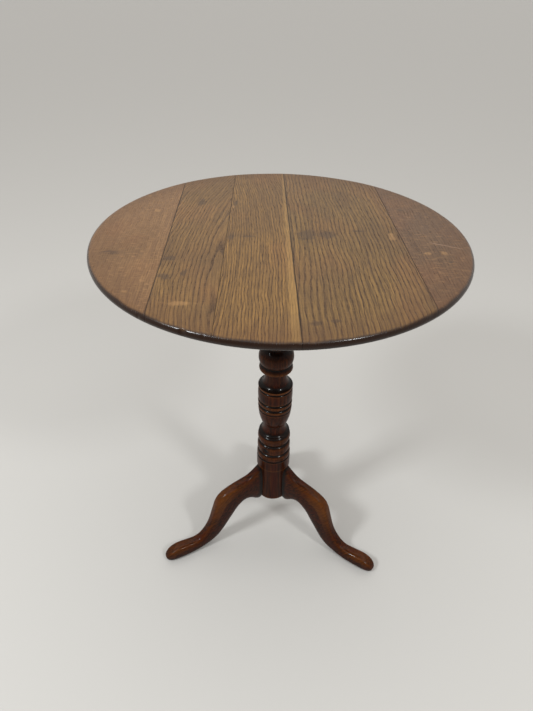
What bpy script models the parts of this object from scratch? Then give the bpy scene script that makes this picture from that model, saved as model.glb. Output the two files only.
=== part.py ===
"""Round tilting table: a five-board oak top on two bearers, tipping on a turned three-legged stand.

Metres, +Z up, floor at z = 0, the column's axis on x = y = 0. The top tips about an axis along Y
near one end of the pivot block and is held level by a sprung bolt at the other end.
"""

from math import cos, hypot, pi, radians, sin

import bmesh
import bpy
from mathutils import Matrix, Vector

# ---- overall sizes
TABLE_HEIGHT = 0.710
TOP_RADIUS = 0.2937
TOP_THICKNESS = 0.0175
GAP = 0.0003
# how far a cutting shape runs past the face it opens
OVERCUT = 0.0030

# ---- top: edge section as (distance in from the rim, share of the thickness above the underside)
TOP_SEGMENTS = 72
EDGE_SECTION = (
    (0.0300, 0.000), (0.0080, 0.200), (0.0024, 0.285), (0.0003, 0.430), (0.0000, 0.560),
    (0.0008, 0.740), (0.0028, 0.895), (0.0058, 0.975), (0.0088, 1.000),
)
# board joints: share of the radius where each crosses y = 0, and how far it slants in x per metre of y
BOARD_JOINTS = ((-0.5887, -0.0637), (-0.2843, -0.0475), (0.0535, -0.0640), (0.6398, -0.0745))
BOARD_NAMES = ("board_far_left", "board_left", "board_middle", "board_right", "board_far_right")

# ---- pivot block, pins and bearers
BLOCK_WIDTH = 0.105
BLOCK_HEIGHT = 0.0419
BLOCK_CATCH_END = -0.0620
PIVOT_X = 0.0460
PIN_RADIUS = 0.0065
PIN_WALL = 0.0085
PIN_INNER_Y = 0.0220
PIN_CHAMFER = 0.0010
BLOCK_CROWN_INSET = 0.0040
STOP_CLEARANCE = 0.0008
SIDE_CLEARANCE = 0.0005
BEARER_THICKNESS = 0.0300
BEARER_REACH = 0.81
BEARER_NOSE_LENGTH = 0.0220
BEARER_NOSE_HEIGHT = 0.0120
BLOCK_SEGMENTS = 12
PIN_SEGMENTS = 32

# ---- screws: (length held in the wood behind, shank radius, head radius, head depth)
BEARER_SCREW = (0.0082, 0.0021, 0.0042, 0.0026)
CATCH_SCREW = (0.0092, 0.0014, 0.0029, 0.0015)
STRIKE_SCREW = (0.0102, 0.0013, 0.0026, 0.0012)
SCREW_SEGMENTS = 14
SLOT_WIDTH = 0.0008
SLOT_DEPTH = 0.0007
SCREW_END_MARGIN = 0.0300

# ---- column: turned outline as (radius, height above the pillar's head), drum to hidden neck
COLUMN_SEGMENTS = 36
PILLAR_RADIUS = 0.0335
PILLAR_FOOT = 0.1000
LEG_HEAD = 0.1900
LEG_HEAD_GAP = 0.0005
PILLAR_HEAD = LEG_HEAD + LEG_HEAD_GAP
FOOT_CHAMFER = 0.0030
COLUMN_OUTLINE = (
    (0.0348, 0.0000), (0.0347, 0.0262), (0.0335, 0.0283), (0.0344, 0.0320), (0.0344, 0.0365),
    (0.0330, 0.0425), (0.0320, 0.0448), (0.0333, 0.0495), (0.0337, 0.0545), (0.0333, 0.0615),
    (0.0316, 0.0725), (0.0328, 0.0775), (0.0330, 0.0825), (0.0312, 0.0918), (0.0307, 0.0942),
    (0.0280, 0.0958), (0.0252, 0.0990), (0.0232, 0.1035), (0.0221, 0.1095), (0.0222, 0.1172),
    (0.0243, 0.1191), (0.0262, 0.1235), (0.0284, 0.1300), (0.0303, 0.1375), (0.0317, 0.1455),
    (0.0328, 0.1562), (0.0321, 0.1577), (0.0332, 0.1615), (0.0329, 0.1650), (0.0317, 0.1682),
    (0.0334, 0.1732), (0.0332, 0.1775), (0.0320, 0.1806), (0.0332, 0.1838), (0.0335, 0.1950),
    (0.0326, 0.2072), (0.0317, 0.2090), (0.0332, 0.2130), (0.0331, 0.2155), (0.0305, 0.2166),
    (0.0275, 0.2185), (0.0248, 0.2215), (0.0228, 0.2260), (0.0216, 0.2320), (0.0212, 0.2390),
    (0.0213, 0.2530), (0.0303, 0.2537), (0.0317, 0.2555), (0.0317, 0.2585), (0.0303, 0.2622),
    (0.0282, 0.2662), (0.0300, 0.2692), (0.0318, 0.2735), (0.0329, 0.2790), (0.0329, 0.2840),
    (0.0312, 0.2910), (0.0278, 0.2972), (0.0246, 0.3010), (0.0214, 0.3050), (0.0212, 0.3070),
    (0.0236, 0.3090), (0.0243, 0.3115), (0.0236, 0.3140), (0.0216, 0.3160),
)
SHAFT_TOP_RADIUS = 0.0245
COLLAR_RADIUS = 0.0300
COLLAR_HEIGHT = 0.0100
COLLAR_LOWER_STEP = 0.0020
COLLAR_MIDDLE = 0.0050
COLLAR_EASE = 0.0010
TENON_RADIUS = 0.0160
TENON_SHY = 0.0004
WEDGE_TOP = 0.0030
WEDGE_TIP = 0.0010
WEDGE_LENGTH = 0.0240
WEDGE_INSET = 0.0010

# ---- legs: (top edge radius, height, bottom edge radius, height, half thickness) along the leg
LEG_ANGLES = (("leg_left", 210.0), ("leg_right", 330.0), ("leg_back", 90.0))
LEG_STATIONS = (
    (0.0240, LEG_HEAD, 0.0240, 0.0945, 0.0130), (0.0345, LEG_HEAD, 0.0345, 0.0940, 0.0130),
    (0.0420, 0.1812, 0.0405, 0.0930, 0.0131), (0.0480, 0.1755, 0.0460, 0.0966, 0.0133),
    (0.0600, 0.1663, 0.0550, 0.1045, 0.0138),
    (0.0740, 0.1612, 0.0640, 0.1085, 0.0140), (0.0900, 0.1566, 0.0722, 0.1078, 0.0140),
    (0.1040, 0.1518, 0.0800, 0.1025, 0.0140), (0.1180, 0.1456, 0.0882, 0.0940, 0.0138),
    (0.1285, 0.1378, 0.0958, 0.0828, 0.0135), (0.1360, 0.1262, 0.1025, 0.0718, 0.0132),
    (0.1410, 0.1122, 0.1083, 0.0628, 0.0129), (0.1455, 0.0970, 0.1150, 0.0523, 0.0126),
    (0.1500, 0.0820, 0.1222, 0.0413, 0.0123), (0.1550, 0.0680, 0.1305, 0.0300, 0.0120),
    (0.1615, 0.0550, 0.1405, 0.0202, 0.0118), (0.1690, 0.0440, 0.1515, 0.0126, 0.0118),
    (0.1780, 0.0345, 0.1660, 0.0070, 0.0120), (0.1890, 0.0292, 0.1790, 0.0030, 0.0126),
    (0.2030, 0.0284, 0.1940, 0.0008, 0.0134), (0.2180, 0.0298, 0.2100, 0.0000, 0.0140),
    (0.2310, 0.0300, 0.2240, 0.0000, 0.0140), (0.2410, 0.0276, 0.2360, 0.0000, 0.0134),
    (0.2495, 0.0230, 0.2450, 0.0000, 0.0120), (0.2555, 0.0165, 0.2520, 0.0012, 0.0095),
    (0.2588, 0.0105, 0.2568, 0.0040, 0.0060),
)
LEG_TOP_ROUND = 0.0085
LEG_BOTTOM_ROUND = 0.0050
LEG_CORNER_STEPS = 4
DOVETAIL_INNER = 0.0190
DOVETAIL_INNER_HALF = 0.0080
DOVETAIL_NECK_HALF = 0.0055
DOVETAIL_ROOT = 0.0060
DOVETAIL_HEIGHT = 0.0780

# ---- catch under the top
BOLT_DROP = 0.0185
BOLT_RADIUS = 0.0039
BOLT_BITE = 0.0090
BOLT_TIP_LENGTH = 0.0030
BOLT_TIP_STEP = 0.0020
BOLT_COLLAR_STEP = 0.0023
BOLT_COLLAR_LENGTH = 0.0032
STRIKE_THICKNESS = 0.0015
STRIKE_HALF_WIDTH = 0.0220
STRIKE_HALF_HEIGHT = 0.0085
STRIKE_SCREW_Y = 0.0160
STRIKE_HOLE_CLEARANCE = 0.0008
MORTISE_DEPTH = 0.0130
CATCH_STANDOFF = 0.0062
CATCH_LENGTH = 0.0780
CATCH_HALF_WIDTH = 0.0170
CATCH_PLATE_THICKNESS = 0.0020
LUG_THICKNESS = 0.0050
LUG_FRONT_INSET = 0.0040
LUG_SPACING = 0.0440
LUG_HALF_WIDTH = 0.0090
LUG_BELOW_BOLT = 0.0080
CATCH_SCREW_SPACING = 0.0380
CATCH_SCREW_INSET = 0.0300
CATCH_SCREW_Y = 0.0122
SPRING_WIRE = 0.0006
SPRING_CLEARANCE = 0.0007
SPRING_TURNS = 9
SPRING_STEPS = 14
SPRING_SIDES = 6
BOLT_TAIL = 0.0140
STUD_RADIUS = 0.0024
STUD_LENGTH = 0.0060
KNOB_RADIUS = 0.0075
KNOB_NECK_RADIUS = 0.0045
KNOB_NECK_LENGTH = 0.0010
KNOB_SINK = 0.8
KNOB_START = 37.0
KNOB_STEPS = 9
METAL_SEGMENTS = 24

# ---- heights and places that follow from the sizes above
UNDERSIDE = TABLE_HEIGHT - TOP_THICKNESS
FIXED_TOP = UNDERSIDE - GAP
BEARER_HEIGHT = 2.0 * (PIN_RADIUS + PIN_WALL)
PIVOT_DROP = GAP + BEARER_HEIGHT / 2.0
PIVOT_Z = UNDERSIDE - PIVOT_DROP
BLOCK_END_RADIUS = PIVOT_DROP - STOP_CLEARANCE
BLOCK_FLOOR = FIXED_TOP - BLOCK_HEIGHT
SHOULDER_Z = BLOCK_FLOOR - GAP
BEARER_INNER_Y = BLOCK_WIDTH / 2.0 + SIDE_CLEARANCE
BEARER_OUTER_Y = BEARER_INNER_Y + BEARER_THICKNESS
BEARER_MIDDLE_Y = BEARER_INNER_Y + BEARER_THICKNESS / 2.0
BEARER_HALF_LENGTH = BEARER_REACH * TOP_RADIUS
BEARER_FLOOR = FIXED_TOP - BEARER_HEIGHT
BOLT_Z = UNDERSIDE - BOLT_DROP
STRIKE_BACK = BLOCK_CATCH_END - GAP
STRIKE_FACE = STRIKE_BACK - STRIKE_THICKNESS
BOLT_NOSE = STRIKE_FACE + BOLT_BITE
CATCH_FRONT = STRIKE_FACE - CATCH_STANDOFF
LUG_FRONT_FACE = CATCH_FRONT - LUG_FRONT_INSET
LUG_FRONT_BACK = LUG_FRONT_FACE - LUG_THICKNESS
LUG_REAR_FACE = LUG_FRONT_FACE - LUG_SPACING
LUG_REAR_BACK = LUG_REAR_FACE - LUG_THICKNESS
BOLT_COLLAR_FRONT = LUG_FRONT_BACK - GAP
BOLT_COLLAR_BACK = BOLT_COLLAR_FRONT - BOLT_COLLAR_LENGTH
BOLT_TAIL_END = LUG_REAR_BACK - BOLT_TAIL
STUD_END = BOLT_TAIL_END - STUD_LENGTH
CATCH_BACK = CATCH_FRONT - CATCH_LENGTH
SPRING_RADIUS = BOLT_RADIUS + SPRING_CLEARANCE + SPRING_WIRE

OAK = (0.30, 0.17, 0.085)
DARK_OAK = (0.115, 0.042, 0.018)
PALE_WOOD = (0.36, 0.23, 0.12)
BRASS = (0.62, 0.45, 0.18)
IRON = (0.16, 0.15, 0.14)
SPRING_STEEL = (0.42, 0.42, 0.43)


def material(name, colour, roughness, metallic):
    """Plain principled material for one piece."""
    surface = bpy.data.materials.new(name + "_finish")
    surface.use_nodes = True
    shader = surface.node_tree.nodes["Principled BSDF"]
    shader.inputs["Base Color"].default_value = (*colour, 1.0)
    shader.inputs["Roughness"].default_value = roughness
    shader.inputs["Metallic"].default_value = metallic
    return surface


def object_from(name, shape, origin=(0.0, 0.0, 0.0), smooth=True):
    """Object holding the shape, with its own origin at the point given."""
    bmesh.ops.translate(shape, verts=shape.verts, vec=-Vector(origin))
    bmesh.ops.recalc_face_normals(shape, faces=shape.faces)
    mesh = bpy.data.meshes.new(name)
    shape.to_mesh(mesh)
    shape.free()
    if smooth:
        mesh.shade_smooth()
        mesh.set_sharp_from_angle(angle=radians(32.0))
    made = bpy.data.objects.new(name, mesh)
    made.location = origin
    bpy.context.scene.collection.objects.link(made)
    return made


def piece(name, shape, finish, origin=(0.0, 0.0, 0.0), smooth=True):
    """Named piece of the table with its own material."""
    made = object_from(name, shape, origin, smooth)
    made.data.materials.append(material(name, *finish))
    return made


def cutter(name, shape):
    """Shape that only cuts other pieces."""
    made = object_from(name, shape, smooth=False)
    made.hide_render = True
    made.display_type = "WIRE"
    return made


def cut(made, tool, operation="DIFFERENCE"):
    """Cut, trim or join one piece with a tool shape."""
    step = made.modifiers.new(operation.lower() + "_" + tool.name, "BOOLEAN")
    step.operation = operation
    step.solver = "EXACT"
    step.object = tool


def turned(outline, segments, places=(Matrix.Identity(4),)):
    """Outline of (radius, height) points spun about Z, one copy at each place."""
    shape = bmesh.new()
    for place in places:
        points = [shape.verts.new((radius, 0.0, height)) for radius, height in outline]
        edges = [shape.edges.new(pair) for pair in zip(points, points[1:])]
        bmesh.ops.spin(
            shape, geom=points + edges, cent=(0.0, 0.0, 0.0), axis=(0.0, 0.0, 1.0),
            angle=2.0 * pi, steps=segments, use_merge=True,
        )
        fresh = [v for v in shape.verts if not v.tag]
        bmesh.ops.transform(shape, matrix=place, verts=fresh)
        for vertex in shape.verts:
            vertex.tag = True
    bmesh.ops.remove_doubles(shape, verts=shape.verts, dist=1.0e-6)
    rims = [edge for edge in shape.edges if edge.is_boundary]
    if rims:
        bmesh.ops.holes_fill(shape, edges=rims, sides=0)
    return shape


def prism(outline, low, high, axis="Y"):
    """Flat outline drawn out between two planes along Y or Z."""
    shape = bmesh.new()
    if axis == "Y":
        base = [shape.verts.new((x, low, z)) for x, z in outline]
        way = Vector((0.0, high - low, 0.0))
    else:
        base = [shape.verts.new((x, y, low)) for x, y in outline]
        way = Vector((0.0, 0.0, high - low))
    face = shape.faces.new(base)
    drawn = bmesh.ops.extrude_face_region(shape, geom=[face])
    moved = [item for item in drawn["geom"] if isinstance(item, bmesh.types.BMVert)]
    bmesh.ops.translate(shape, verts=moved, vec=way)
    return shape


def box(low, high):
    """Rectangular block between two corners."""
    shape = bmesh.new()
    size = Vector(high) - Vector(low)
    middle = (Vector(high) + Vector(low)) / 2.0
    bmesh.ops.create_cube(shape, size=1.0, matrix=Matrix.Translation(middle) @ Matrix.Diagonal((*size, 1.0)))
    return shape


def arc(centre, radius, start, end, steps):
    """Points along a circular arc, angles in degrees."""
    turns = [radians(start + (end - start) * step / steps) for step in range(steps + 1)]
    return [(centre[0] + radius * cos(turn), centre[1] + radius * sin(turn)) for turn in turns]


def carrier(name, place):
    """Empty on a joint's axis that its moving pieces hang from."""
    empty = bpy.data.objects.new(name, None)
    empty.location = place
    bpy.context.scene.collection.objects.link(empty)
    return empty


def hang(made, empty):
    """Hang a piece from a carrier without moving it."""
    made.parent = empty
    made.matrix_parent_inverse = Matrix.Translation(-Vector(empty.location))


def screw_outline(size, through, grow=0.0, mouth=0.0):
    """Countersunk screw outline, head at height 0 and point upward; grown, it is the hole's."""
    bite, shank, head, depth = size
    length = through + GAP + bite
    return (
        (0.0, -mouth), (head + grow, -mouth), (head + grow, 0.0003), (shank + grow, depth),
        (shank + grow, length - 2.0 * shank), (0.0, length + grow),
    )


def screws(names, places, size, through, finish):
    """Slotted countersunk screws through a given thickness, and the shared tool for their holes."""
    head = size[2]
    slots = bmesh.new()
    for place in places:
        slot = Matrix.Diagonal((2.4 * head, SLOT_WIDTH, 2.0 * SLOT_DEPTH, 1.0))
        bmesh.ops.create_cube(slots, size=1.0, matrix=place @ slot)
    slot_tool = cutter(names[0] + "_slot_tool", slots)
    made = []
    for name, place in zip(names, places):
        shape = turned(screw_outline(size, through), SCREW_SEGMENTS, (place,))
        screw = piece(name, shape, finish, place.translation)
        cut(screw, slot_tool)
        made.append(screw)
    hole = turned(screw_outline(size, through, GAP, OVERCUT), SCREW_SEGMENTS, places)
    return made, cutter(names[0] + "_hole_tool", hole)


def joint_x(joint, y):
    """Where a board joint crosses a given depth."""
    share, slant = BOARD_JOINTS[joint]
    return share * TOP_RADIUS + slant * y


def top_boards():
    """Five boards sawn from one round top with a shouldered, under-bevelled edge."""
    rim = [(TOP_RADIUS - inward, UNDERSIDE + share * TOP_THICKNESS) for inward, share in EDGE_SECTION]
    reach = 1.3 * TOP_RADIUS
    boards = []
    for index, name in enumerate(BOARD_NAMES):
        left = [(-reach, reach), (-reach, -reach)]
        right = [(reach, -reach), (reach, reach)]
        if index > 0:
            left = [(joint_x(index - 1, y) + GAP / 2.0, y) for y in (reach, -reach)]
        if index < len(BOARD_JOINTS):
            right = [(joint_x(index, y) - GAP / 2.0, y) for y in (-reach, reach)]
        plank = prism(left + right, UNDERSIDE - OVERCUT, TABLE_HEIGHT + OVERCUT, axis="Z")
        board = piece(name, turned(rim, TOP_SEGMENTS), (OAK, 0.42, 0.0))
        cut(board, cutter(name + "_saw", plank), "INTERSECT")
        boards.append(board)
    return boards


def bearer_screw_places(y):
    """Screw under the middle of each board, along one bearer."""
    end = BEARER_HALF_LENGTH - SCREW_END_MARGIN
    lines = [joint_x(joint, y) for joint in range(len(BOARD_JOINTS))]
    across = [-end] + [(low + high) / 2.0 for low, high in zip(lines, lines[1:])] + [end]
    return [Matrix.Translation((x, y, BEARER_FLOOR)) for x in across]


def bearers():
    """Two bearers across the boards, each with blunt tapered ends."""
    nose = BEARER_HALF_LENGTH - BEARER_NOSE_LENGTH
    tip = FIXED_TOP - BEARER_NOSE_HEIGHT
    side = [(nose, BEARER_FLOOR), (BEARER_HALF_LENGTH, tip), (BEARER_HALF_LENGTH, FIXED_TOP)]
    outline = side + [(-x, z) for x, z in reversed(side)]
    front = piece("bearer_front", prism(outline, -BEARER_OUTER_Y, -BEARER_INNER_Y), (DARK_OAK, 0.55, 0.0))
    back = piece("bearer_back", prism(outline, BEARER_INNER_Y, BEARER_OUTER_Y), (DARK_OAK, 0.55, 0.0))
    return front, back


def pin_places():
    """Turn a Z shape to lie outward along -Y and +Y on the tipping axis."""
    axis = Matrix.Translation((PIVOT_X, 0.0, PIVOT_Z))
    return axis @ Matrix.Rotation(radians(90.0), 4, "X"), axis @ Matrix.Rotation(radians(-90.0), 4, "X")


def pivot_block():
    """Block on the column's tenon, rounded over at the tipping end."""
    end = (PIVOT_X, PIVOT_Z)
    outline = [(BLOCK_CATCH_END, BLOCK_FLOOR), (PIVOT_X + BLOCK_END_RADIUS, BLOCK_FLOOR)]
    outline += arc(end, BLOCK_END_RADIUS, 0.0, 70.0, BLOCK_SEGMENTS)
    outline += [(PIVOT_X - BLOCK_CROWN_INSET, FIXED_TOP), (BLOCK_CATCH_END, FIXED_TOP)]
    half = BLOCK_WIDTH / 2.0
    return piece("pivot_block", prism(outline, -half, half), (DARK_OAK, 0.55, 0.0))


def wedge_outline(grow):
    """Tapered wedge section, thin end down, in x and z."""
    top = FIXED_TOP - TENON_SHY
    tip = top - WEDGE_LENGTH - grow
    wide = WEDGE_TOP / 2.0 + grow
    thin = WEDGE_TIP / 2.0 + grow
    lift = OVERCUT if grow else 0.0
    return [(-thin, tip), (thin, tip), (wide, top + lift), (-wide, top + lift)]


def column():
    """Turned column: plain pillar, ringed drum, barrel, bulb, taper, collar and through tenon."""
    outline = [
        (PILLAR_RADIUS - FOOT_CHAMFER, PILLAR_FOOT), (PILLAR_RADIUS, PILLAR_FOOT + FOOT_CHAMFER),
        (PILLAR_RADIUS, PILLAR_HEAD),
    ]
    outline += [(radius, PILLAR_HEAD + rise) for radius, rise in COLUMN_OUTLINE]
    collar = SHOULDER_Z - COLLAR_HEIGHT
    outline += [
        (SHAFT_TOP_RADIUS, collar), (COLLAR_RADIUS - COLLAR_EASE, collar + COLLAR_LOWER_STEP),
        (COLLAR_RADIUS, collar + COLLAR_MIDDLE), (COLLAR_RADIUS - COLLAR_EASE, SHOULDER_Z),
        (TENON_RADIUS, SHOULDER_Z), (TENON_RADIUS, FIXED_TOP - TENON_SHY),
    ]
    return piece("column", turned(outline, COLUMN_SEGMENTS), (DARK_OAK, 0.3, 0.0))


def section(station):
    """Rounded rectangle across the leg between its bottom and top edges."""
    top_r, top_z, low_r, low_z, half = station
    height = hypot(top_r - low_r, top_z - low_z)
    up_round = min(LEG_TOP_ROUND, 0.48 * height, 0.9 * half)
    low_round = min(LEG_BOTTOM_ROUND, 0.4 * height, 0.6 * half)
    corners = (
        (half - low_round, low_round, low_round, -90.0), (half - up_round, height - up_round, up_round, 0.0),
        (up_round - half, height - up_round, up_round, 90.0), (low_round - half, low_round, low_round, 180.0),
    )
    ring = []
    for across, along, radius, start in corners:
        ring += arc((across, along), radius, start, start + 90.0, LEG_CORNER_STEPS - 1)
    way = ((top_r - low_r) / height, (top_z - low_z) / height)
    return [Vector((low_r + along * way[0], across, low_z + along * way[1])) for across, along in ring]


def leg_shape():
    """Curved leg reaching out along +X, before it is cut to the pillar."""
    shape = bmesh.new()
    rings = [[shape.verts.new(point) for point in section(station)] for station in LEG_STATIONS]
    count = len(rings[0])
    for ring, following in zip(rings, rings[1:]):
        for index in range(count):
            after = (index + 1) % count
            shape.faces.new((ring[index], ring[after], following[after], following[index]))
    shape.faces.new(reversed(rings[0]))
    shape.faces.new(rings[-1])
    bmesh.ops.triangulate(shape, faces=[face for face in shape.faces if len(face.verts) == 4])
    return shape


def dovetail_outline(grow, reach):
    """Dovetail seen from above: narrow at the pillar's face, wider inside."""
    neck = PILLAR_RADIUS
    slope = (DOVETAIL_INNER_HALF - DOVETAIL_NECK_HALF) / (neck - DOVETAIL_INNER)
    inner = DOVETAIL_INNER - grow
    outer = neck + reach
    half_in = DOVETAIL_INNER_HALF + grow * (1.0 + slope)
    half_out = half_in - slope * (outer - inner)
    return [(inner, -half_in), (outer, -half_out), (outer, half_out), (inner, half_in)]


def legs(pillar):
    """Three legs, each slid up a dovetail groove in the pillar."""
    tongue_top = PILLAR_FOOT + DOVETAIL_HEIGHT
    for name, angle in LEG_ANGLES:
        turn = Matrix.Rotation(radians(angle), 4, "Z")
        shape = leg_shape()
        shape.transform(turn)
        leg = piece(name, shape, (DARK_OAK, 0.3, 0.0))
        hollow = PILLAR_RADIUS + GAP
        scoop = turned(((hollow, PILLAR_FOOT / 2.0), (hollow, LEG_HEAD + OVERCUT)), COLUMN_SEGMENTS)
        cut(leg, cutter(name + "_scoop", scoop))
        tongue = prism(dovetail_outline(0.0, DOVETAIL_ROOT), PILLAR_FOOT, tongue_top, axis="Z")
        tongue.transform(turn)
        cut(leg, cutter(name + "_tongue", tongue), "UNION")
        groove_sides = dovetail_outline(GAP, DOVETAIL_ROOT)
        groove = prism(groove_sides, PILLAR_FOOT - OVERCUT, tongue_top + GAP, axis="Z")
        groove.transform(turn)
        cut(pillar, cutter(name + "_groove", groove))


def along_x(outline):
    """Outline of (radius, x) points spun about the bolt's axis."""
    lay = Matrix.Translation((0.0, 0.0, BOLT_Z)) @ Matrix.Rotation(radians(90.0), 4, "Y")
    return turned(outline, METAL_SEGMENTS, (lay,))


def strike(block):
    """Brass plate on the block's end for the bolt, with its two screws."""
    low = (STRIKE_FACE, -STRIKE_HALF_WIDTH, BOLT_Z - STRIKE_HALF_HEIGHT)
    high = (STRIKE_BACK, STRIKE_HALF_WIDTH, BOLT_Z + STRIKE_HALF_HEIGHT)
    plate = piece("strike_plate", box(low, high), (BRASS, 0.35, 1.0), smooth=False)
    channel_radius = BOLT_RADIUS + STRIKE_HOLE_CLEARANCE
    mouth = STRIKE_FACE - OVERCUT
    floor = BLOCK_CATCH_END + MORTISE_DEPTH
    channel = cutter("bolt_channel", along_x(((channel_radius, mouth), (channel_radius, floor))))
    lay = Matrix.Rotation(radians(90.0), 4, "Y")
    places = [Matrix.Translation((STRIKE_FACE, y, BOLT_Z)) @ lay for y in (-STRIKE_SCREW_Y, STRIKE_SCREW_Y)]
    names = ("strike_screw_front", "strike_screw_back")
    fixings, holes = screws(names, places, STRIKE_SCREW, STRIKE_THICKNESS, (BRASS, 0.35, 1.0))
    for made in (plate, block):
        cut(made, channel)
        cut(made, holes)


def catch_plate():
    """Brass plate with two drilled lugs for the bolt, one solid."""
    top = FIXED_TOP
    under = top - CATCH_PLATE_THICKNESS
    foot = BOLT_Z - LUG_BELOW_BOLT
    outline = [
        (CATCH_BACK, top), (CATCH_BACK, under), (LUG_REAR_BACK, under), (LUG_REAR_BACK, foot),
        (LUG_REAR_FACE, foot), (LUG_REAR_FACE, under), (LUG_FRONT_BACK, under), (LUG_FRONT_BACK, foot),
        (LUG_FRONT_FACE, foot), (LUG_FRONT_FACE, under), (CATCH_FRONT, under), (CATCH_FRONT, top),
    ]
    plate = piece(
        "catch_plate", prism(outline, -CATCH_HALF_WIDTH, CATCH_HALF_WIDTH), (BRASS, 0.35, 1.0), smooth=False,
    )
    for side, name in ((-1.0, "front"), (1.0, "back")):
        edges = sorted((side * LUG_HALF_WIDTH, side * (CATCH_HALF_WIDTH + OVERCUT)))
        low = (LUG_REAR_BACK - OVERCUT, edges[0], foot - OVERCUT)
        high = (LUG_FRONT_FACE + OVERCUT, edges[1], under)
        cut(plate, cutter("lug_trim_" + name, box(low, high)))
    bore = BOLT_RADIUS + GAP
    ends = ((bore, LUG_REAR_BACK - OVERCUT), (bore, LUG_FRONT_FACE + OVERCUT))
    cut(plate, cutter("lug_bore", along_x(ends)))
    return plate


def catch_screw_places():
    """Four screws through the catch plate into the boards."""
    first = CATCH_FRONT - CATCH_SCREW_INSET
    xs = (first, first - CATCH_SCREW_SPACING)
    floor = FIXED_TOP - CATCH_PLATE_THICKNESS
    return [Matrix.Translation((x, y, floor)) for x in xs for y in (-CATCH_SCREW_Y, CATCH_SCREW_Y)]


def catch_bolt():
    """Round bolt with a blunt nose, a stop collar and a stud for the knob."""
    collar = BOLT_RADIUS + BOLT_COLLAR_STEP
    outline = (
        (0.0, BOLT_NOSE), (BOLT_RADIUS - BOLT_TIP_STEP, BOLT_NOSE),
        (BOLT_RADIUS, BOLT_NOSE - BOLT_TIP_LENGTH),
        (BOLT_RADIUS, BOLT_COLLAR_FRONT), (collar, BOLT_COLLAR_FRONT), (collar, BOLT_COLLAR_BACK),
        (BOLT_RADIUS, BOLT_COLLAR_BACK), (BOLT_RADIUS, BOLT_TAIL_END), (STUD_RADIUS, BOLT_TAIL_END),
        (STUD_RADIUS, STUD_END), (0.0, STUD_END),
    )
    return piece("catch_bolt", along_x(outline), (BRASS, 0.3, 1.0), (BOLT_NOSE, 0.0, BOLT_Z))


def pull_knob():
    """Ball knob bored for the bolt's stud."""
    face = BOLT_TAIL_END - GAP
    neck = face - KNOB_NECK_LENGTH
    floor = STUD_END - GAP
    bore = STUD_RADIUS + GAP
    outline = [(0.0, floor), (bore, floor), (bore, face), (KNOB_NECK_RADIUS, face), (KNOB_NECK_RADIUS, neck)]
    centre = neck - KNOB_SINK * KNOB_RADIUS
    for step in range(KNOB_STEPS + 1):
        turn = radians(KNOB_START + (180.0 - KNOB_START) * step / KNOB_STEPS)
        outline.append((KNOB_RADIUS * sin(turn), centre + KNOB_RADIUS * cos(turn)))
    outline[-1] = (0.0, outline[-1][1])
    return piece("catch_knob", along_x(outline), (BRASS, 0.25, 1.0), (STUD_END, 0.0, BOLT_Z))


def catch_spring():
    """Coil spring round the bolt, between the rear lug and the collar."""
    start = LUG_REAR_FACE + GAP + SPRING_WIRE
    end = BOLT_COLLAR_BACK - GAP - SPRING_WIRE
    count = SPRING_TURNS * SPRING_STEPS
    pitch_angle = (end - start) / (SPRING_TURNS * 2.0 * pi * SPRING_RADIUS)
    shape = bmesh.new()
    rings = []
    for step in range(count + 1):
        turn = 2.0 * pi * SPRING_TURNS * step / count
        out = Vector((0.0, cos(turn), sin(turn)))
        along = Vector((1.0, pitch_angle * sin(turn), -pitch_angle * cos(turn))).normalized()
        centre = Vector((start + (end - start) * step / count, 0.0, BOLT_Z)) + SPRING_RADIUS * out
        ring = []
        for side in range(SPRING_SIDES):
            angle = 2.0 * pi * side / SPRING_SIDES
            ring.append(shape.verts.new(centre + SPRING_WIRE * (cos(angle) * out + sin(angle) * along)))
        rings.append(ring)
    for ring, following in zip(rings, rings[1:]):
        for index in range(SPRING_SIDES):
            after = (index + 1) % SPRING_SIDES
            shape.faces.new((ring[index], ring[after], following[after], following[index]))
    shape.faces.new(rings[0])
    shape.faces.new(reversed(rings[-1]))
    return piece("catch_spring", shape, (SPRING_STEEL, 0.3, 1.0), (start, 0.0, BOLT_Z))


def build_stand():
    """Everything that stays still: column, legs, block, wedge, pins and strike."""
    pillar = column()
    slot_reach = TENON_RADIUS + OVERCUT
    wedge_slot = cutter("wedge_slot", prism(wedge_outline(GAP), -slot_reach, slot_reach))
    cut(pillar, wedge_slot)
    wedge_half = TENON_RADIUS - WEDGE_INSET
    piece("tenon_wedge", prism(wedge_outline(0.0), -wedge_half, wedge_half), (PALE_WOOD, 0.6, 0.0))
    legs(pillar)
    block = pivot_block()
    socket = TENON_RADIUS + GAP
    socket_ends = ((socket, SHOULDER_Z - OVERCUT), (socket, FIXED_TOP + OVERCUT))
    cut(block, cutter("tenon_socket", turned(socket_ends, COLUMN_SEGMENTS)))
    pin_outline = (
        (0.0, PIN_INNER_Y), (PIN_RADIUS, PIN_INNER_Y), (PIN_RADIUS, BEARER_OUTER_Y - PIN_CHAMFER),
        (PIN_RADIUS - PIN_CHAMFER, BEARER_OUTER_Y), (0.0, BEARER_OUTER_Y),
    )
    bore = PIN_RADIUS + GAP
    bore_outline = ((bore, PIN_INNER_Y - GAP), (bore, BEARER_OUTER_Y + OVERCUT))
    pivot = (PIVOT_X, 0.0, PIVOT_Z)
    for name, place in zip(("pivot_pin_front", "pivot_pin_back"), pin_places()):
        piece(name, turned(pin_outline, PIN_SEGMENTS, (place,)), (PALE_WOOD, 0.5, 0.0), pivot)
    pin_bores = cutter("pin_bores", turned(bore_outline, PIN_SEGMENTS, pin_places()))
    cut(block, pin_bores)
    strike(block)
    return pin_bores


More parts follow.
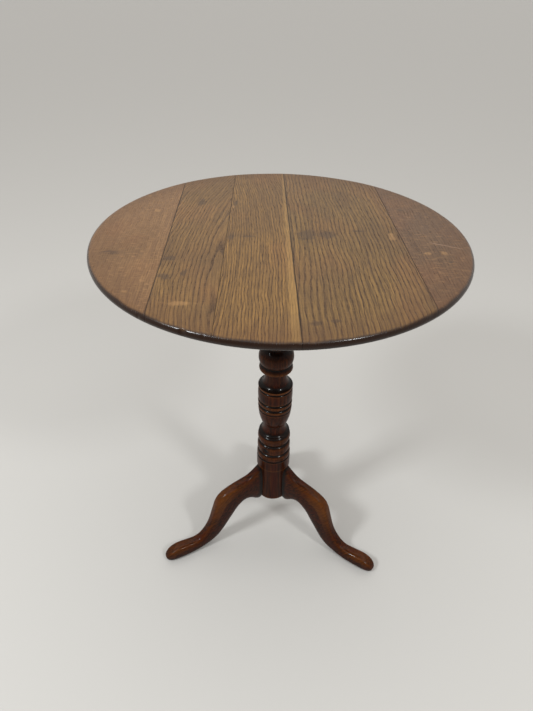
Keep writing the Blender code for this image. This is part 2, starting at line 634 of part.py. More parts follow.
def build_top(pin_bores):
    """Everything that tips: boards, bearers, their screws and the catch plate."""
    tilt = carrier("tilt_axis", (PIVOT_X, 0.0, PIVOT_Z))
    boards = top_boards()
    moving = list(boards)
    for bearer, side, label in zip(bearers(), (-1.0, 1.0), ("front", "back")):
        places = bearer_screw_places(side * BEARER_MIDDLE_Y)
        names = ["bearer_screw_%s_%d" % (label, number + 1) for number in range(len(places))]
        fixings, holes = screws(names, places, BEARER_SCREW, BEARER_HEIGHT, (IRON, 0.45, 1.0))
        cut(bearer, holes)
        cut(bearer, pin_bores)
        for board in boards:
            cut(board, holes)
        moving += [bearer] + fixings
    plate = catch_plate()
    names = ["catch_screw_%d" % number for number in range(1, 5)]
    places = catch_screw_places()
    fixings, holes = screws(names, places, CATCH_SCREW, CATCH_PLATE_THICKNESS, (BRASS, 0.35, 1.0))
    for made in [plate] + boards:
        cut(made, holes)
    for made in moving + [plate] + fixings:
        hang(made, tilt)
    return tilt


def build_bolt(tilt):
    """The sprung bolt and its knob, sliding along X under the top."""
    slide = carrier("bolt_slide_axis", (BOLT_NOSE, 0.0, BOLT_Z))
    hang(slide, tilt)
    for made in (catch_bolt(), pull_knob(), catch_spring()):
        hang(made, slide)


def main():
    """Clear the scene and build the table."""
    for old in list(bpy.data.objects):
        bpy.data.objects.remove(old, do_unlink=True)
    pin_bores = build_stand()
    tilt = build_top(pin_bores)
    build_bolt(tilt)


main()
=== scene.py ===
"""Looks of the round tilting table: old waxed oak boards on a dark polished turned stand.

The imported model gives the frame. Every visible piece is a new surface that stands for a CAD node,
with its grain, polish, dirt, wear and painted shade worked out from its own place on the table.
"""

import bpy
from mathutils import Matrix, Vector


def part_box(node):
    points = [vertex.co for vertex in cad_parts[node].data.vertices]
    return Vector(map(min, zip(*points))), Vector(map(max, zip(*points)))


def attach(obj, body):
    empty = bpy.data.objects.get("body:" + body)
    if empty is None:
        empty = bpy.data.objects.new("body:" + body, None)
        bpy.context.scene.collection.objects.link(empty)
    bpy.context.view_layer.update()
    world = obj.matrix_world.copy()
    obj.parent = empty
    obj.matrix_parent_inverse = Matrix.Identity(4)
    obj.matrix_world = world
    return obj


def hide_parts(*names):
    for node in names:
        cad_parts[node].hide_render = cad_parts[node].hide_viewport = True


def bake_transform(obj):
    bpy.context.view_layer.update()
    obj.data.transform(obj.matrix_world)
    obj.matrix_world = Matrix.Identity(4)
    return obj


bl_info = {
    "name": "Round tilting table",
    "version": (1, 0, 0),
    "blender": (4, 5, 0),
    "location": "View3D > Sidebar > Table",
    "description": "Builds the boards, the turned stand, the legs and the catch of a tilting table",
    "category": "Add Mesh",
}

from math import cos, pi, radians, sin

import bmesh
import bpy
import numpy as np
from mathutils import Matrix, Vector

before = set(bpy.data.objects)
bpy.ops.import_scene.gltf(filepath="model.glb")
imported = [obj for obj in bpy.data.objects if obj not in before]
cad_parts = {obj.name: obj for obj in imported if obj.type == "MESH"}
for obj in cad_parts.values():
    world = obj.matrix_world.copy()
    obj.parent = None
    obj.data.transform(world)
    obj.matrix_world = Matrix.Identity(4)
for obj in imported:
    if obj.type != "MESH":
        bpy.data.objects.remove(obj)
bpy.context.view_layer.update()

# ---- places taken from the frame
TOP_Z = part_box("board_middle")[1].z
UNDERSIDE_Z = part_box("board_middle")[0].z
TOP_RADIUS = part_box("board_middle")[1].y
COLUMN_LOW, COLUMN_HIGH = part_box("column")
LEG_GAP = 0.0005
BLOCK_GAP = 0.0003
DRUM_FOOT_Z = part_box("leg_left")[1].z + LEG_GAP
SHOULDER_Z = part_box("pivot_block")[0].z - BLOCK_GAP
THICKNESS = TOP_Z - UNDERSIDE_Z

# ---- the five boards: name, and the joint on its right as (x where y is 0, slant in x per metre of y)
BOARDS = ("board_far_left", "board_left", "board_middle", "board_right", "board_far_right")
JOINTS = ((-0.17290, -0.0637), (-0.08350, -0.0475), (0.01571, -0.0640), (0.18791, -0.0745))
SAW_GAP = 0.0003


# =====================================================================================
# shapes
# =====================================================================================


def through(points, count):
    """Smooth line through the points: each span is the Catmull-Rom cubic of its four nearest points."""
    p = np.asarray(points, float)
    padded = np.vstack([2.0 * p[0] - p[1], p, 2.0 * p[-1] - p[-2]])
    t = np.linspace(0.0, 1.0, count, endpoint=False)[None, :, None]
    a, b, c, d = (padded[i:i + len(p) - 1, None, :] for i in range(4))
    slope = c - a
    bend = 2.0 * a - 5.0 * b + 4.0 * c - d
    twist = 3.0 * (b - c) + d - a
    spans = 0.5 * (2.0 * b + slope * t + bend * t**2 + twist * t**3)
    return np.vstack([spans.reshape(-1, p.shape[1]), p[-1:]])


def smooth(value, low, high):
    """0 below low, 1 above high, and the smooth cubic step 3t^2 - 2t^3 between."""
    t = np.clip((value - low) / (high - low), 0.0, 1.0)
    return t * t * (3.0 - 2.0 * t)


def ripple(a, b, seed):
    """Gentle unevenness between -1 and 1: the mean of six sine waves in two directions."""
    draw = np.random.default_rng(seed)
    turn = draw.uniform(0.0, 2.0 * pi, 6)
    pace = draw.uniform(0.6, 2.4, 6)
    lean = draw.uniform(0.0, 2.0 * pi, 6)
    waves = [np.sin(p * (a * cos(l) + b * sin(l)) + t) for p, l, t in zip(pace, lean, turn)]
    return np.mean(waves, axis=0) * 1.6


def add_mesh(name, points, faces, layers=None):
    """Object at the origin from points and faces, with one float layer per named array."""
    mesh = bpy.data.meshes.new(name)
    mesh.from_pydata(points, [], faces)
    for label, values in (layers or {}).items():
        layer = mesh.attributes.new(label, "FLOAT", "POINT")
        layer.data.foreach_set("value", np.asarray(values, np.float32))
    mesh.update()
    made = bpy.data.objects.new(name, mesh)
    bpy.context.scene.collection.objects.link(made)
    return made


def tube_mesh(name, rings, layers=None):
    """Closed skin over a stack of rings: grid point (row, column) joins its neighbours, columns wrap
    round, and each end is closed by a fan to the ring's mean point."""
    rings = np.asarray(rings, float)
    rows, columns = rings.shape[:2]
    points = np.vstack([rings.reshape(-1, 3), rings[0].mean(0), rings[-1].mean(0)])
    index = np.arange(rows * columns).reshape(rows, columns)
    after = np.roll(index, -1, axis=1)
    sides = np.stack([index[:-1], after[:-1], after[1:], index[1:]], axis=-1).reshape(-1, 4)
    first = np.stack([after[0], index[0], np.full(columns, rows * columns)], axis=-1)
    last = np.stack([index[-1], after[-1], np.full(columns, rows * columns + 1)], axis=-1)
    a, b, c = (points[sides[:, i]] for i in range(3))
    volume = np.einsum("ij,ij->i", a, np.cross(b, c)).sum()
    faces = [*sides.tolist(), *first.tolist(), *last.tolist()]
    if volume < 0.0:
        faces = [face[::-1] for face in faces]
    flat = {}
    for label, values in (layers or {}).items():
        values = np.broadcast_to(values, (rows, columns))
        flat[label] = np.concatenate([values.ravel(), [values[0].mean(), values[-1].mean()]])
    return add_mesh(name, points.tolist(), faces, flat)


def soften(made, angle=35.0):
    """Shade smoothly, keeping edges sharper than the angle crisp."""
    made.data.shade_smooth()
    made.data.set_sharp_from_angle(angle=radians(angle))


def finish_piece(made, surface, body, slot, *nodes):
    """Give a piece its material and body, and let it stand for its CAD nodes; the slot is not used."""
    made.data.materials.clear()
    made.data.materials.append(surface)
    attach(made, body)
    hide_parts(*nodes)
    return made


SAME_POINT = 1.0e-6
FLAT_ANGLE = radians(1.0)
SHARP_ANGLE = radians(32.0)


def eased_copy(name, node, width, segments=2):
    """Copy of a machined piece with its flat faces joined up and its sharp edges rounded by a width."""
    shape = bmesh.new()
    shape.from_mesh(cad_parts[node].data)
    bmesh.ops.remove_doubles(shape, verts=shape.verts, dist=SAME_POINT)
    bmesh.ops.dissolve_limit(shape, angle_limit=FLAT_ANGLE, verts=shape.verts, edges=shape.edges)
    bmesh.ops.recalc_face_normals(shape, faces=shape.faces)
    sharp = [e for e in shape.edges if e.is_manifold and e.calc_face_angle(0.0) > SHARP_ANGLE]
    bmesh.ops.bevel(
        shape, geom=sharp, offset=width, segments=segments, profile=0.5, affect="EDGES", clamp_overlap=True,
    )
    mesh = bpy.data.meshes.new(name)
    shape.to_mesh(mesh)
    shape.free()
    made = bpy.data.objects.new(name, mesh)
    bpy.context.scene.collection.objects.link(made)
    soften(made)
    return made


# =====================================================================================
# shader maths
# =====================================================================================


class Socket:
    """One output of a material's nodes; arithmetic on it adds the Math nodes."""

    def __init__(self, paint, out):
        self.paint = paint
        self.out = out

    def __add__(self, other):
        return self.paint.math("ADD", self, other)

    def __radd__(self, other):
        return self.paint.math("ADD", other, self)

    def __sub__(self, other):
        return self.paint.math("SUBTRACT", self, other)

    def __rsub__(self, other):
        return self.paint.math("SUBTRACT", other, self)

    def __mul__(self, other):
        return self.paint.math("MULTIPLY", self, other)

    def __rmul__(self, other):
        return self.paint.math("MULTIPLY", other, self)

    def __truediv__(self, other):
        return self.paint.math("DIVIDE", self, other)

    def __pow__(self, other):
        return self.paint.math("POWER", self, other)


class Paint:
    """A material being mixed: its nodes, and the few recipes that every finish here uses."""

    def __init__(self, name):
        self.surface = bpy.data.materials.new(name)
        self.surface.use_nodes = True
        self.tree = self.surface.node_tree
        self.shader = self.tree.nodes["Principled BSDF"]
        self.shader.inputs["Coat Roughness"].default_value = 0.08

    def node(self, kind, settings=None, inputs=None, output=0):
        """Add a node: its settings first, then a value or a link on each named or numbered input."""
        made = self.tree.nodes.new(kind)
        for name, value in (settings or {}).items():
            setattr(made, name, value)
        for key, value in (inputs or {}).items():
            self.feed(made.inputs[key], value)
        return Socket(self, made.outputs[output])

    def feed(self, socket, value):
        """Link or set one input."""
        if isinstance(value, Socket):
            self.tree.links.new(value.out, socket)
        else:
            socket.default_value = value

    def math(self, operation, *values):
        """One Math node on numbers or sockets."""
        return self.node("ShaderNodeMath", {"operation": operation}, dict(enumerate(values)))

    def place(self):
        """The point on the table, split into x, y and z."""
        point = self.node("ShaderNodeTexCoord", output="Object")
        split = self.node("ShaderNodeSeparateXYZ", inputs={0: point})
        outs = split.out.node.outputs
        return tuple(Socket(self, outs[i]) for i in range(3))

    def point(self, x, y, z):
        """A point put together from three numbers or sockets."""
        return self.node("ShaderNodeCombineXYZ", inputs={0: x, 1: y, 2: z})

    def layer(self, name):
        """A float layer painted on the mesh."""
        return self.node("ShaderNodeAttribute", {"attribute_name": name}, output="Fac")

    def noise(self, point, scale, detail=3.0, rough=0.5, twist=0.0):
        """Cloudy noise from 0 to 1."""
        inputs = {"Vector": point, "Scale": scale, "Detail": detail, "Roughness": rough, "Distortion": twist}
        return self.node("ShaderNodeTexNoise", {"noise_dimensions": "3D"}, inputs)

    def step(self, value, low, high, start=0.0, end=1.0):
        """Smooth rise from start to end as the value goes from low to high."""
        settings = {"interpolation_type": "SMOOTHSTEP"}
        return self.node("ShaderNodeMapRange", settings, {0: value, 1: low, 2: high, 3: start, 4: end})

    def mix(self, share, first, second, way="MIX"):
        """Blend two colours."""
        settings = {"data_type": "RGBA", "blend_type": way}
        return self.node("ShaderNodeMix", settings, {0: share, 6: tint(first), 7: tint(second)}, output=2)

    def spot(self, x, y, centre, reach, ragged, seed):
        """1 inside an uneven oval patch, fading to 0 at its edge: distance over reach plus noise."""
        away = ((x - centre[0]) / reach[0]) ** 2.0 + ((y - centre[1]) / reach[1]) ** 2.0
        cloud = self.noise(self.point(x, y, seed), 90.0, 3.0)
        return self.step(self.math("SQRT", away) + (cloud - 0.5) * ragged, 1.1, 0.45)

    def done(self, colour, roughness, height=None, lift=0.0003, gloss=0.5, **values):
        """Join the colour, the roughness, the relief and any other named shader value."""
        self.shader.inputs["Specular IOR Level"].default_value = gloss
        self.feed(self.shader.inputs["Base Color"], tint(colour))
        self.feed(self.shader.inputs["Roughness"], roughness)
        if height is not None:
            relief = {"Strength": 1.0, "Distance": lift, "Height": height}
            self.feed(self.shader.inputs["Normal"], self.node("ShaderNodeBump", inputs=relief))
        for name, value in values.items():
            self.feed(self.shader.inputs[name.replace("_", " ").title()], value)
        return self.surface


def tint(colour):
    """A colour with its alpha, or a socket as it is."""
    return colour if isinstance(colour, Socket) else (*tuple(colour)[:3], 1.0)


# =====================================================================================
# finishes
# =====================================================================================


class OakFigure:
    """How one board was sawn: where the heart of the tree lay, and what marks it carries."""

    def __init__(self, slant, bow, middle, heart, run, spacing, light, dark, **marks):
        self.slant = slant
        self.bow = bow
        self.middle = middle
        self.heart = heart
        self.run = run
        self.spacing = spacing
        self.light = light
        self.dark = dark
        self.marks = marks


FIGURES = (
    OakFigure(slant=-0.055, bow=0.0, middle=-0.235, heart=(0.30, -0.020), run=0.02, spacing=0.0031,
              light=(0.215, 0.115, 0.046), dark=(0.125, 0.062, 0.027),
              rays=0.75, grain=0.35, pale=((-0.2111, 0.0769, 0.006, 0.008), (-0.1963, -0.1923, 0.005, 0.004),
                                           (-0.2379, 0.1422, 0.004, 0.006)),
              dark_spots=((-0.2425, -0.0831, 0.020, 0.007),)),
    OakFigure(slant=0.038, bow=0.376, middle=-0.128, heart=(0.042, 0.022), run=0.03, spacing=0.0050,
              light=(0.215, 0.116, 0.036), dark=(0.095, 0.050, 0.018),
              rays=0.15, grain=0.85, pale=((-0.1211, -0.2164, 0.022, 0.006),),
              dark_spots=((-0.1412, 0.1217, 0.008, 0.020), (-0.1550, -0.0955, 0.012, 0.010),
                          (-0.1526, -0.1488, 0.014, 0.009), (-0.1277, -0.1355, 0.005, 0.010))),
    OakFigure(slant=-0.092, bow=-0.159, middle=-0.034, heart=(0.17, 0.015), run=0.05, spacing=0.0042,
              light=(0.250, 0.133, 0.037), dark=(0.100, 0.052, 0.017),
              rays=0.10, grain=1.0, pale=((-0.0841, 0.1057, 0.003, 0.008),),
              dark_spots=((-0.0816, 0.1198, 0.004, 0.022), (-0.0747, -0.0179, 0.006, 0.016),
                          (-0.0496, -0.0122, 0.010, 0.005))),
    OakFigure(slant=-0.088, bow=-0.040, middle=0.102, heart=(-0.13, 0.040), run=-0.05, spacing=0.0060,
              light=(0.210, 0.117, 0.034), dark=(0.084, 0.047, 0.017),
              rays=0.12, grain=1.0, pale=((0.1744, 0.0042, 0.006, 0.014), (0.1854, 0.0910, 0.003, 0.006)),
              dark_spots=((0.0434, -0.0010, 0.017, 0.026), (0.0732, 0.0052, 0.016, 0.018),
                          (0.0570, 0.0508, 0.0035, 0.0028), (0.0515, -0.2492, 0.010, 0.006),
                          (0.0744, -0.2432, 0.009, 0.004), (0.1523, -0.0384, 0.004, 0.003),
                          (0.1541, 0.1570, 0.003, 0.004), (0.1261, 0.0209, 0.012, 0.004))),
    OakFigure(slant=-0.075, bow=0.0, middle=0.232, heart=(0.16, 0.028), run=0.05, spacing=0.0048,
              light=(0.128, 0.070, 0.034), dark=(0.072, 0.037, 0.019),
              rays=0.45, grain=0.45, pale=((0.2445, -0.0478, 0.006, 0.007), (0.2200, -0.0500, 0.006, 0.005)),
              dark_spots=((0.2477, -0.0764, 0.0035, 0.0045), (0.2030, 0.1145, 0.007, 0.006))),
)


OAK_SHADE = (0.105, 0.058, 0.026)
OAK_RED = (0.200, 0.078, 0.028)
OAK_RAY = (0.270, 0.145, 0.062)
PORE_DIRT = (0.030, 0.014, 0.008)
DARK_SPOT = (0.048, 0.028, 0.017)
PALE_SPOT = (0.330, 0.180, 0.070)
SAPWOOD = (0.370, 0.215, 0.070)
BARE_SCRATCH = (0.380, 0.240, 0.160)
JOINT_DIRT = (0.018, 0.010, 0.007)
RIM_STAIN = (0.085, 0.038, 0.016)
DUSTY_DARK = (0.075, 0.040, 0.022)
DUSTY_LIGHT = (0.140, 0.085, 0.050)
DUSTY_GRAIN = (0.040, 0.022, 0.014)
DIRT_STRENGTHS = (0.85, 0.45, 1.0, 0.65)


def patched(paint, colour, marks, place, ragged, seed, share, tone):
    """Lay uneven oval patches of a tone over the colour, each mark giving a centre and a reach."""
    for order, mark in enumerate(marks):
        patch = paint.spot(*place, mark[:2], mark[2:], ragged, seed + order)
        colour = paint.mix(patch * share, colour, tone)
    return colour


def sapwood_strip(paint, colour, x, y, streak, fibre):
    """Pale sapwood along the middle board's right edge, wider towards the front."""
    middle, slant = JOINTS[2]
    edge = middle + y * slant - x
    width = 0.0085 - y * 0.017
    strip = paint.step(edge / width + (streak - 0.5) * 0.9, 1.15, 0.70)
    return paint.mix(strip * (0.15 + fibre * 0.35), colour, SAPWOOD)


def old_scratch(paint, colour, x, y, fibre):
    """One pale slanting scratch on the right-hand board: near a line, between two values of x."""
    away = paint.math("ABSOLUTE", (y + 0.0145) + (x - 0.2342) * 0.424)
    inside = paint.step(x, 0.225, 0.236) * paint.step(x, 0.282, 0.270)
    line = paint.step(away, 0.0016, 0.0004) * inside * paint.step(fibre, 0.3, 0.5)
    return paint.mix(line * 0.45, colour, BARE_SCRATCH)


def waxed_oak(name, number, settings):
    """Old waxed oak. Growth rings are circles about a tilted heart, cut by the board's face; the
    porous early wood is darker and open-grained, rays cross it, and dirt gathers at the joints and near the
    rim. The rim itself is painted near-black, partly handled wear and partly painted shade standing for the
    dark room it reflects."""
    figure = FIGURES[number]
    paint = Paint(name)
    x, y, z = paint.place()
    across = x - y * figure.slant - y * y * figure.bow - figure.middle
    seed = 3.1 * number
    wander = paint.noise(paint.point(across * 5.0, y * 2.6, seed), 3.0, 3.0) - 0.5
    sway = paint.noise(paint.point(across * 30.0, y * 11.0, seed + 1.0), 1.6, 2.0) - 0.5
    side = across - figure.heart[0] + wander * 0.020 + sway * 0.0040
    depth = figure.heart[1] + y * figure.run + (TOP_Z - z)
    rings = paint.math("SQRT", side * side + depth * depth) / figure.spacing
    jitter = paint.noise(paint.point(across * 260.0, y * 13.0, seed), 1.0, 2.0) - 0.5
    ring = paint.math("FRACT", rings + jitter * 0.22)
    early = paint.step(ring, 0.0, 0.06) * paint.step(ring, 0.46, 0.10)
    strength = paint.noise(paint.point(paint.math("FLOOR", rings), y * 3.0, seed), 1.7, 1.0)
    streak = paint.noise(paint.point(across * 420.0, y * 9.0, seed + 2.0), 1.0, 4.0, 0.6)
    fibre = paint.noise(paint.point(across * 1500.0, y * 40.0, seed + 3.0), 1.0, 3.0, 0.6)
    dash = paint.noise(paint.point(across * 820.0, y * 75.0, seed + 4.0), 1.0, 2.0, 0.5)
    pores = paint.step(dash, 0.50, 0.66) * (0.25 + 0.75 * early)
    cloud = paint.noise(paint.point(x * 9.0, y * 6.0, seed + 5.0), 1.0, 4.0, 0.55)
    colour = paint.mix(paint.step(streak * 0.5 + fibre * 0.5, 0.38, 0.63), figure.dark, figure.light)
    colour = paint.mix(paint.step(cloud, 0.38, 0.72) * 0.55, colour, OAK_SHADE)
    red = paint.noise(paint.point(x * 14.0, y * 8.0, seed + 6.0), 1.0, 3.0)
    colour = paint.mix(paint.step(red, 0.45, 0.75) * 0.24, colour, OAK_RED)
    bands = early * figure.marks["grain"] * (0.40 + 0.80 * strength) * (0.50 + 0.95 * dash)
    colour = paint.mix(bands * 0.95, colour, settings.open_grain)
    colour = paint.mix(pores * figure.marks["grain"] * 0.75, colour, PORE_DIRT)
    fleck = paint.noise(paint.point(across * 120.0 + streak * 2.0, y * 420.0, seed + 7.0), 1.0, 2.0, 0.4)
    rays = paint.step(fleck, 0.54, 0.68) * figure.marks["rays"]
    colour = paint.mix(rays * 0.85, colour, OAK_RAY)
    crossing = paint.noise(paint.point(across * 70.0, y * 260.0, seed + 8.0), 1.0, 2.0, 0.5)
    colour = paint.mix(paint.step(crossing, 0.55, 0.75) * figure.marks["rays"] * 0.45, colour, figure.dark)
    dark_share = 0.15 + streak * 0.85
    pale_share = 0.05 + streak * 0.75
    colour = patched(
        paint, colour, figure.marks["dark_spots"], (x, y), 1.9, seed + 20.0, dark_share, DARK_SPOT,
    )
    colour = patched(paint, colour, figure.marks["pale"], (x, y), 2.2, seed + 40.0, pale_share, PALE_SPOT)
    if BOARDS[number] == "board_middle":
        colour = sapwood_strip(paint, colour, x, y, streak, fibre)
    if BOARDS[number] == "board_far_right":
        colour = old_scratch(paint, colour, x, y, fibre)
    dirt = joint_dirt(paint, x, y, streak)
    colour = paint.mix(dirt * 0.85, colour, JOINT_DIRT)
    reach = paint.math("SQRT", x * x + y * y)
    worn = paint.noise(paint.point(x * 40.0, y * 40.0, z * 40.0), 1.0, 3.0)
    near = paint.step(reach, TOP_RADIUS - 0.060, TOP_RADIUS - 0.008)
    colour = paint.mix(near * 0.35, colour, RIM_STAIN)
    # the rim is painted near-black: partly handled wear, partly painted shade standing for the dark room it
    # reflects
    rim = paint.step(reach + (worn - 0.5) * 0.004, TOP_RADIUS - 0.0062, TOP_RADIUS - 0.0016)
    colour = paint.mix(rim * 0.97, colour, settings.rim)
    below = paint.step(z, UNDERSIDE_Z + 0.0045, UNDERSIDE_Z + 0.0020)
    below = below * paint.step(reach, TOP_RADIUS - 0.0045, TOP_RADIUS - 0.0085)
    dusty = paint.mix(paint.step(streak, 0.3, 0.7), DUSTY_DARK, DUSTY_LIGHT)
    dusty = paint.mix(bands * 0.5, dusty, DUSTY_GRAIN)
    colour = paint.mix(below, colour, dusty)
    roughness = settings.wax_roughness + cloud * 0.16 + pores * 0.18 - rim * 0.20 + below * 0.25
    height = 0.55 * streak - pores * 0.9 - bands * 0.35 + fibre * 0.25 - dirt * 0.8
    height = height * (1.0 - rim * 0.65)
    return paint.done(colour, roughness, height, 0.00022, 0.24, Coat_Weight=0.03 + rim * 0.16)


def joint_dirt(paint, x, y, streak):
    """Dirt beside each board joint: a dark line that fades within two millimetres and comes and goes."""
    total = None
    for (middle, slant), strength in zip(JOINTS, DIRT_STRENGTHS):
        away = paint.math("ABSOLUTE", x - middle - y * slant)
        line = paint.step(away + (streak - 0.5) * 0.0018 * strength, 0.0014, 0.0003) * strength
        total = line if total is None else paint.math("MAXIMUM", total, line)
    return total


def grain_point(paint, turn, lift, stretch):
    """The point on the table turned so that the grain runs along its own third number."""
    point = paint.node("ShaderNodeTexCoord", output="Object")
    inputs = {"Vector": point, "Rotation": (0.0, lift, -turn)}
    turned_point = paint.node("ShaderNodeMapping", {"vector_type": "POINT"}, inputs)
    split = paint.node("ShaderNodeSeparateXYZ", inputs={0: turned_point})
    x, y, z = (Socket(paint, split.out.node.outputs[i]) for i in range(3))
    return paint.point(x, y, z * stretch)


def dark_polish(name, settings, turn=0.0, lift=0.0):
    """Dark stained oak under old polish: red-brown streaks along the grain, near-black in the hollows and on
    ledges that face up (partly dirt, partly painted shade), lighter where hands and feet have rubbed the
    high edges."""
    paint = Paint(name)
    along = grain_point(paint, turn, lift, 0.045)
    hollow = paint.layer("hollow")
    rubbed = paint.layer("rubbed")
    streak = paint.noise(along, 330.0, 4.0, 0.62)
    broad = paint.noise(along, 95.0, 3.0, 0.5)
    cloud = paint.noise(paint.node("ShaderNodeTexCoord", output="Object"), 38.0, 4.0, 0.55)
    pores = paint.step(paint.noise(grain_point(paint, turn, lift, 0.10), 760.0, 2.0, 0.5), 0.58, 0.70)
    colour = paint.mix(paint.step(streak, 0.34, 0.72), settings.stain_dark, settings.stain_light)
    colour = paint.mix(paint.step(broad, 0.42, 0.70) * 0.55, colour, settings.stain_red)
    colour = paint.mix(paint.step(cloud, 0.45, 0.80) * 0.40, colour, (0.012, 0.005, 0.003))
    colour = paint.mix(rubbed * (0.25 + 0.6 * streak), colour, settings.rubbed_wood)
    colour = paint.mix(pores * 0.45, colour, (0.008, 0.004, 0.003))
    # painted shade, partly dirt: the hollow layer darkens grooves, upward ledges, the chip and the legs'
    # joins and soles nearly to black
    grime_and_shade = paint.math("MINIMUM", hollow * (0.65 + 0.7 * cloud), 1.0)
    colour = paint.mix(grime_and_shade, colour, (0.0040, 0.0022, 0.0016))
    roughness = settings.polish_roughness + cloud * 0.14 + pores * 0.10 + rubbed * 0.05
    height = streak * 0.35 - pores * 0.6 + cloud * 0.5
    return paint.done(colour, roughness, height, 0.00010, 0.05, Coat_Weight=0.14 + 0.04 * grime_and_shade)


def plain_wood(name, light, dark, turn=0.0, lift=0.0, roughness=0.62):
    """Unpolished wood, planed and dusty, with its grain along one direction."""
    paint = Paint(name)
    along = grain_point(paint, turn, lift, 0.05)
    streak = paint.noise(along, 260.0, 4.0, 0.6)
    pores = paint.step(paint.noise(along, 900.0, 2.0), 0.55, 0.70)
    cloud = paint.noise(paint.node("ShaderNodeTexCoord", output="Object"), 30.0, 4.0)
    colour = paint.mix(paint.step(streak, 0.30, 0.72), dark, light)
    colour = paint.mix(pores * 0.5, colour, (0.030, 0.018, 0.012))
    colour = paint.mix(paint.step(cloud, 0.50, 0.80) * 0.35, colour, (0.200, 0.150, 0.110))
    height = streak * 0.6 - pores * 0.7 + cloud * 0.3
    return paint.done(colour, roughness + cloud * 0.15, height, 0.00025)


def old_metal(name, bright, tarnish, roughness, scale):
    """Handled metal: bright where rubbed, dull and dark in patches, with fine scratches."""
    paint = Paint(name)
    point = paint.node("ShaderNodeTexCoord", output="Object")
    cloud = paint.noise(point, scale, 5.0, 0.6)
    fine = paint.noise(point, scale * 14.0, 2.0, 0.6)
    dull = paint.step(cloud, 0.42, 0.66)
    colour = paint.mix(dull * 0.8, bright, tarnish)
    height = fine * 0.4 + cloud * 0.6
    roughness = roughness + dull * 0.25 + fine * 0.08
    return paint.done(colour, roughness, height, 0.00008, Metallic=1.0 - dull * 0.25)


# =====================================================================================
# sizes and colours that a user may change
# =====================================================================================


def colour_value(name, description, default):
    """A colour that the panel shows."""
    return bpy.props.FloatVectorProperty(
        name=name, description=description, default=default, subtype="COLOR", size=3, min=0.0, max=1.0,
    )


def length_value(name, description, default):
    """A length that the panel shows."""
    return bpy.props.FloatProperty(
        name=name, description=description, default=default, subtype="DISTANCE", unit="LENGTH",
    )


def share_value(name, description, default):
    """A share from 0 to 1 that the panel shows."""
    return bpy.props.FloatProperty(name=name, description=description, default=default, min=0.0, max=1.0)


def angle_value(name, description, degrees):
    """An angle that the panel shows."""
    return bpy.props.FloatProperty(
        name=name, description=description, default=radians(degrees), subtype="ANGLE", unit="ROTATION",
    )


class TopSettings(bpy.types.PropertyGroup):
    """The oak top."""

    joint_ease: length_value("Joint easing", "How far the board edges are worn down at a joint", 0.00045)
    cupping: length_value("Cupping", "How far the middle of a board stands below its edges", 0.00030)
    open_grain: colour_value("Open grain", "Colour of the porous early wood", (0.044, 0.021, 0.010))
    # rim colour: handled wear and painted shade, near-black for the dark room the rim reflects
    rim: colour_value("Rim", "Colour of the handled edge", (0.012, 0.0040, 0.0018))
    wax_roughness: share_value("Wax roughness", "Dullness of the waxed surface", 0.34)


class StandSettings(bpy.types.PropertyGroup):
    """The column and legs."""

    stain_dark: colour_value("Dark stain", "Darkest wood under the polish", (0.007, 0.0010, 0.0004))
    stain_light: colour_value("Light stain", "Lightest wood under the polish", (0.056, 0.0120, 0.0016))
    stain_red: colour_value("Red stain", "Reddish streaks", (0.040, 0.0040, 0.0008))
    rubbed_wood: colour_value("Rubbed wood", "Wood where the polish is rubbed thin", (0.145, 0.046, 0.0070))
    polish_roughness: share_value("Polish roughness", "Dullness of the polish", 0.24)


class StageSettings(bpy.types.PropertyGroup):
    """Camera, floor and lights."""

    camera_place: bpy.props.FloatVectorProperty(
        name="Camera place", description="Where the camera stands", subtype="TRANSLATION", unit="LENGTH",
        default=(0.01414, -0.78291, 1.0610),
    )
    camera_dip: angle_value("Camera dip", "How far the camera looks down", 37.0)
    camera_turn: angle_value("Camera turn", "How far the camera looks to the left", 2.37)
    camera_roll: angle_value("Camera roll", "How far the camera leans", 0.97)
    lens: bpy.props.FloatProperty(
        name="Lens", description="Focal length in millimetres", default=27.06, min=1.0,
    )
    floor: colour_value("Floor", "Colour of the plain floor", (0.46, 0.445, 0.42))
    sky: colour_value("Surroundings", "Colour of the soft light all round", (0.74, 0.73, 0.71))
    front_share: share_value("Front light", "Surroundings at the front, as a share of the rest", 0.40)


class TableSettings(bpy.types.PropertyGroup):
    """All the table's settings."""

    top: bpy.props.PointerProperty(type=TopSettings)
    stand: bpy.props.PointerProperty(type=StandSettings)
    stage: bpy.props.PointerProperty(type=StageSettings)


# =====================================================================================
# the oak top
# =====================================================================================

TOP_COLUMNS = 900
EDGE_LINE = (
    (0.0310, 0.000), (0.0295, 0.004), (0.0080, 0.195), (0.0045, 0.235), (0.0022, 0.300), (0.0006, 0.400),
    (0.0000, 0.540), (0.0005, 0.680), (0.0016, 0.810), (0.0034, 0.915), (0.0058, 0.975), (0.0090, 1.000),
)
# nicks in the rim: bearing in degrees, height up the edge as a share, half length, depth
RIM_NICKS = (
    (235.3, 0.60, 0.0016, 0.0010), (248.6, 0.75, 0.0034, 0.0018), (253.9, 0.70, 0.0012, 0.0008),
    (275.0, 0.55, 0.0040, 0.0006), (312.0, 0.85, 0.0060, 0.0006), (341.0, 0.70, 0.0030, 0.0006),
    (20.0, 0.60, 0.0040, 0.0007), (85.0, 0.80, 0.0030, 0.0008), (140.0, 0.65, 0.0050, 0.0007),
    (196.0, 0.75, 0.0030, 0.0006),
)


EASE_REACH = 0.002
EXTRA_CUTS = (0.0006, 0.0010, 0.0015, 0.0021)


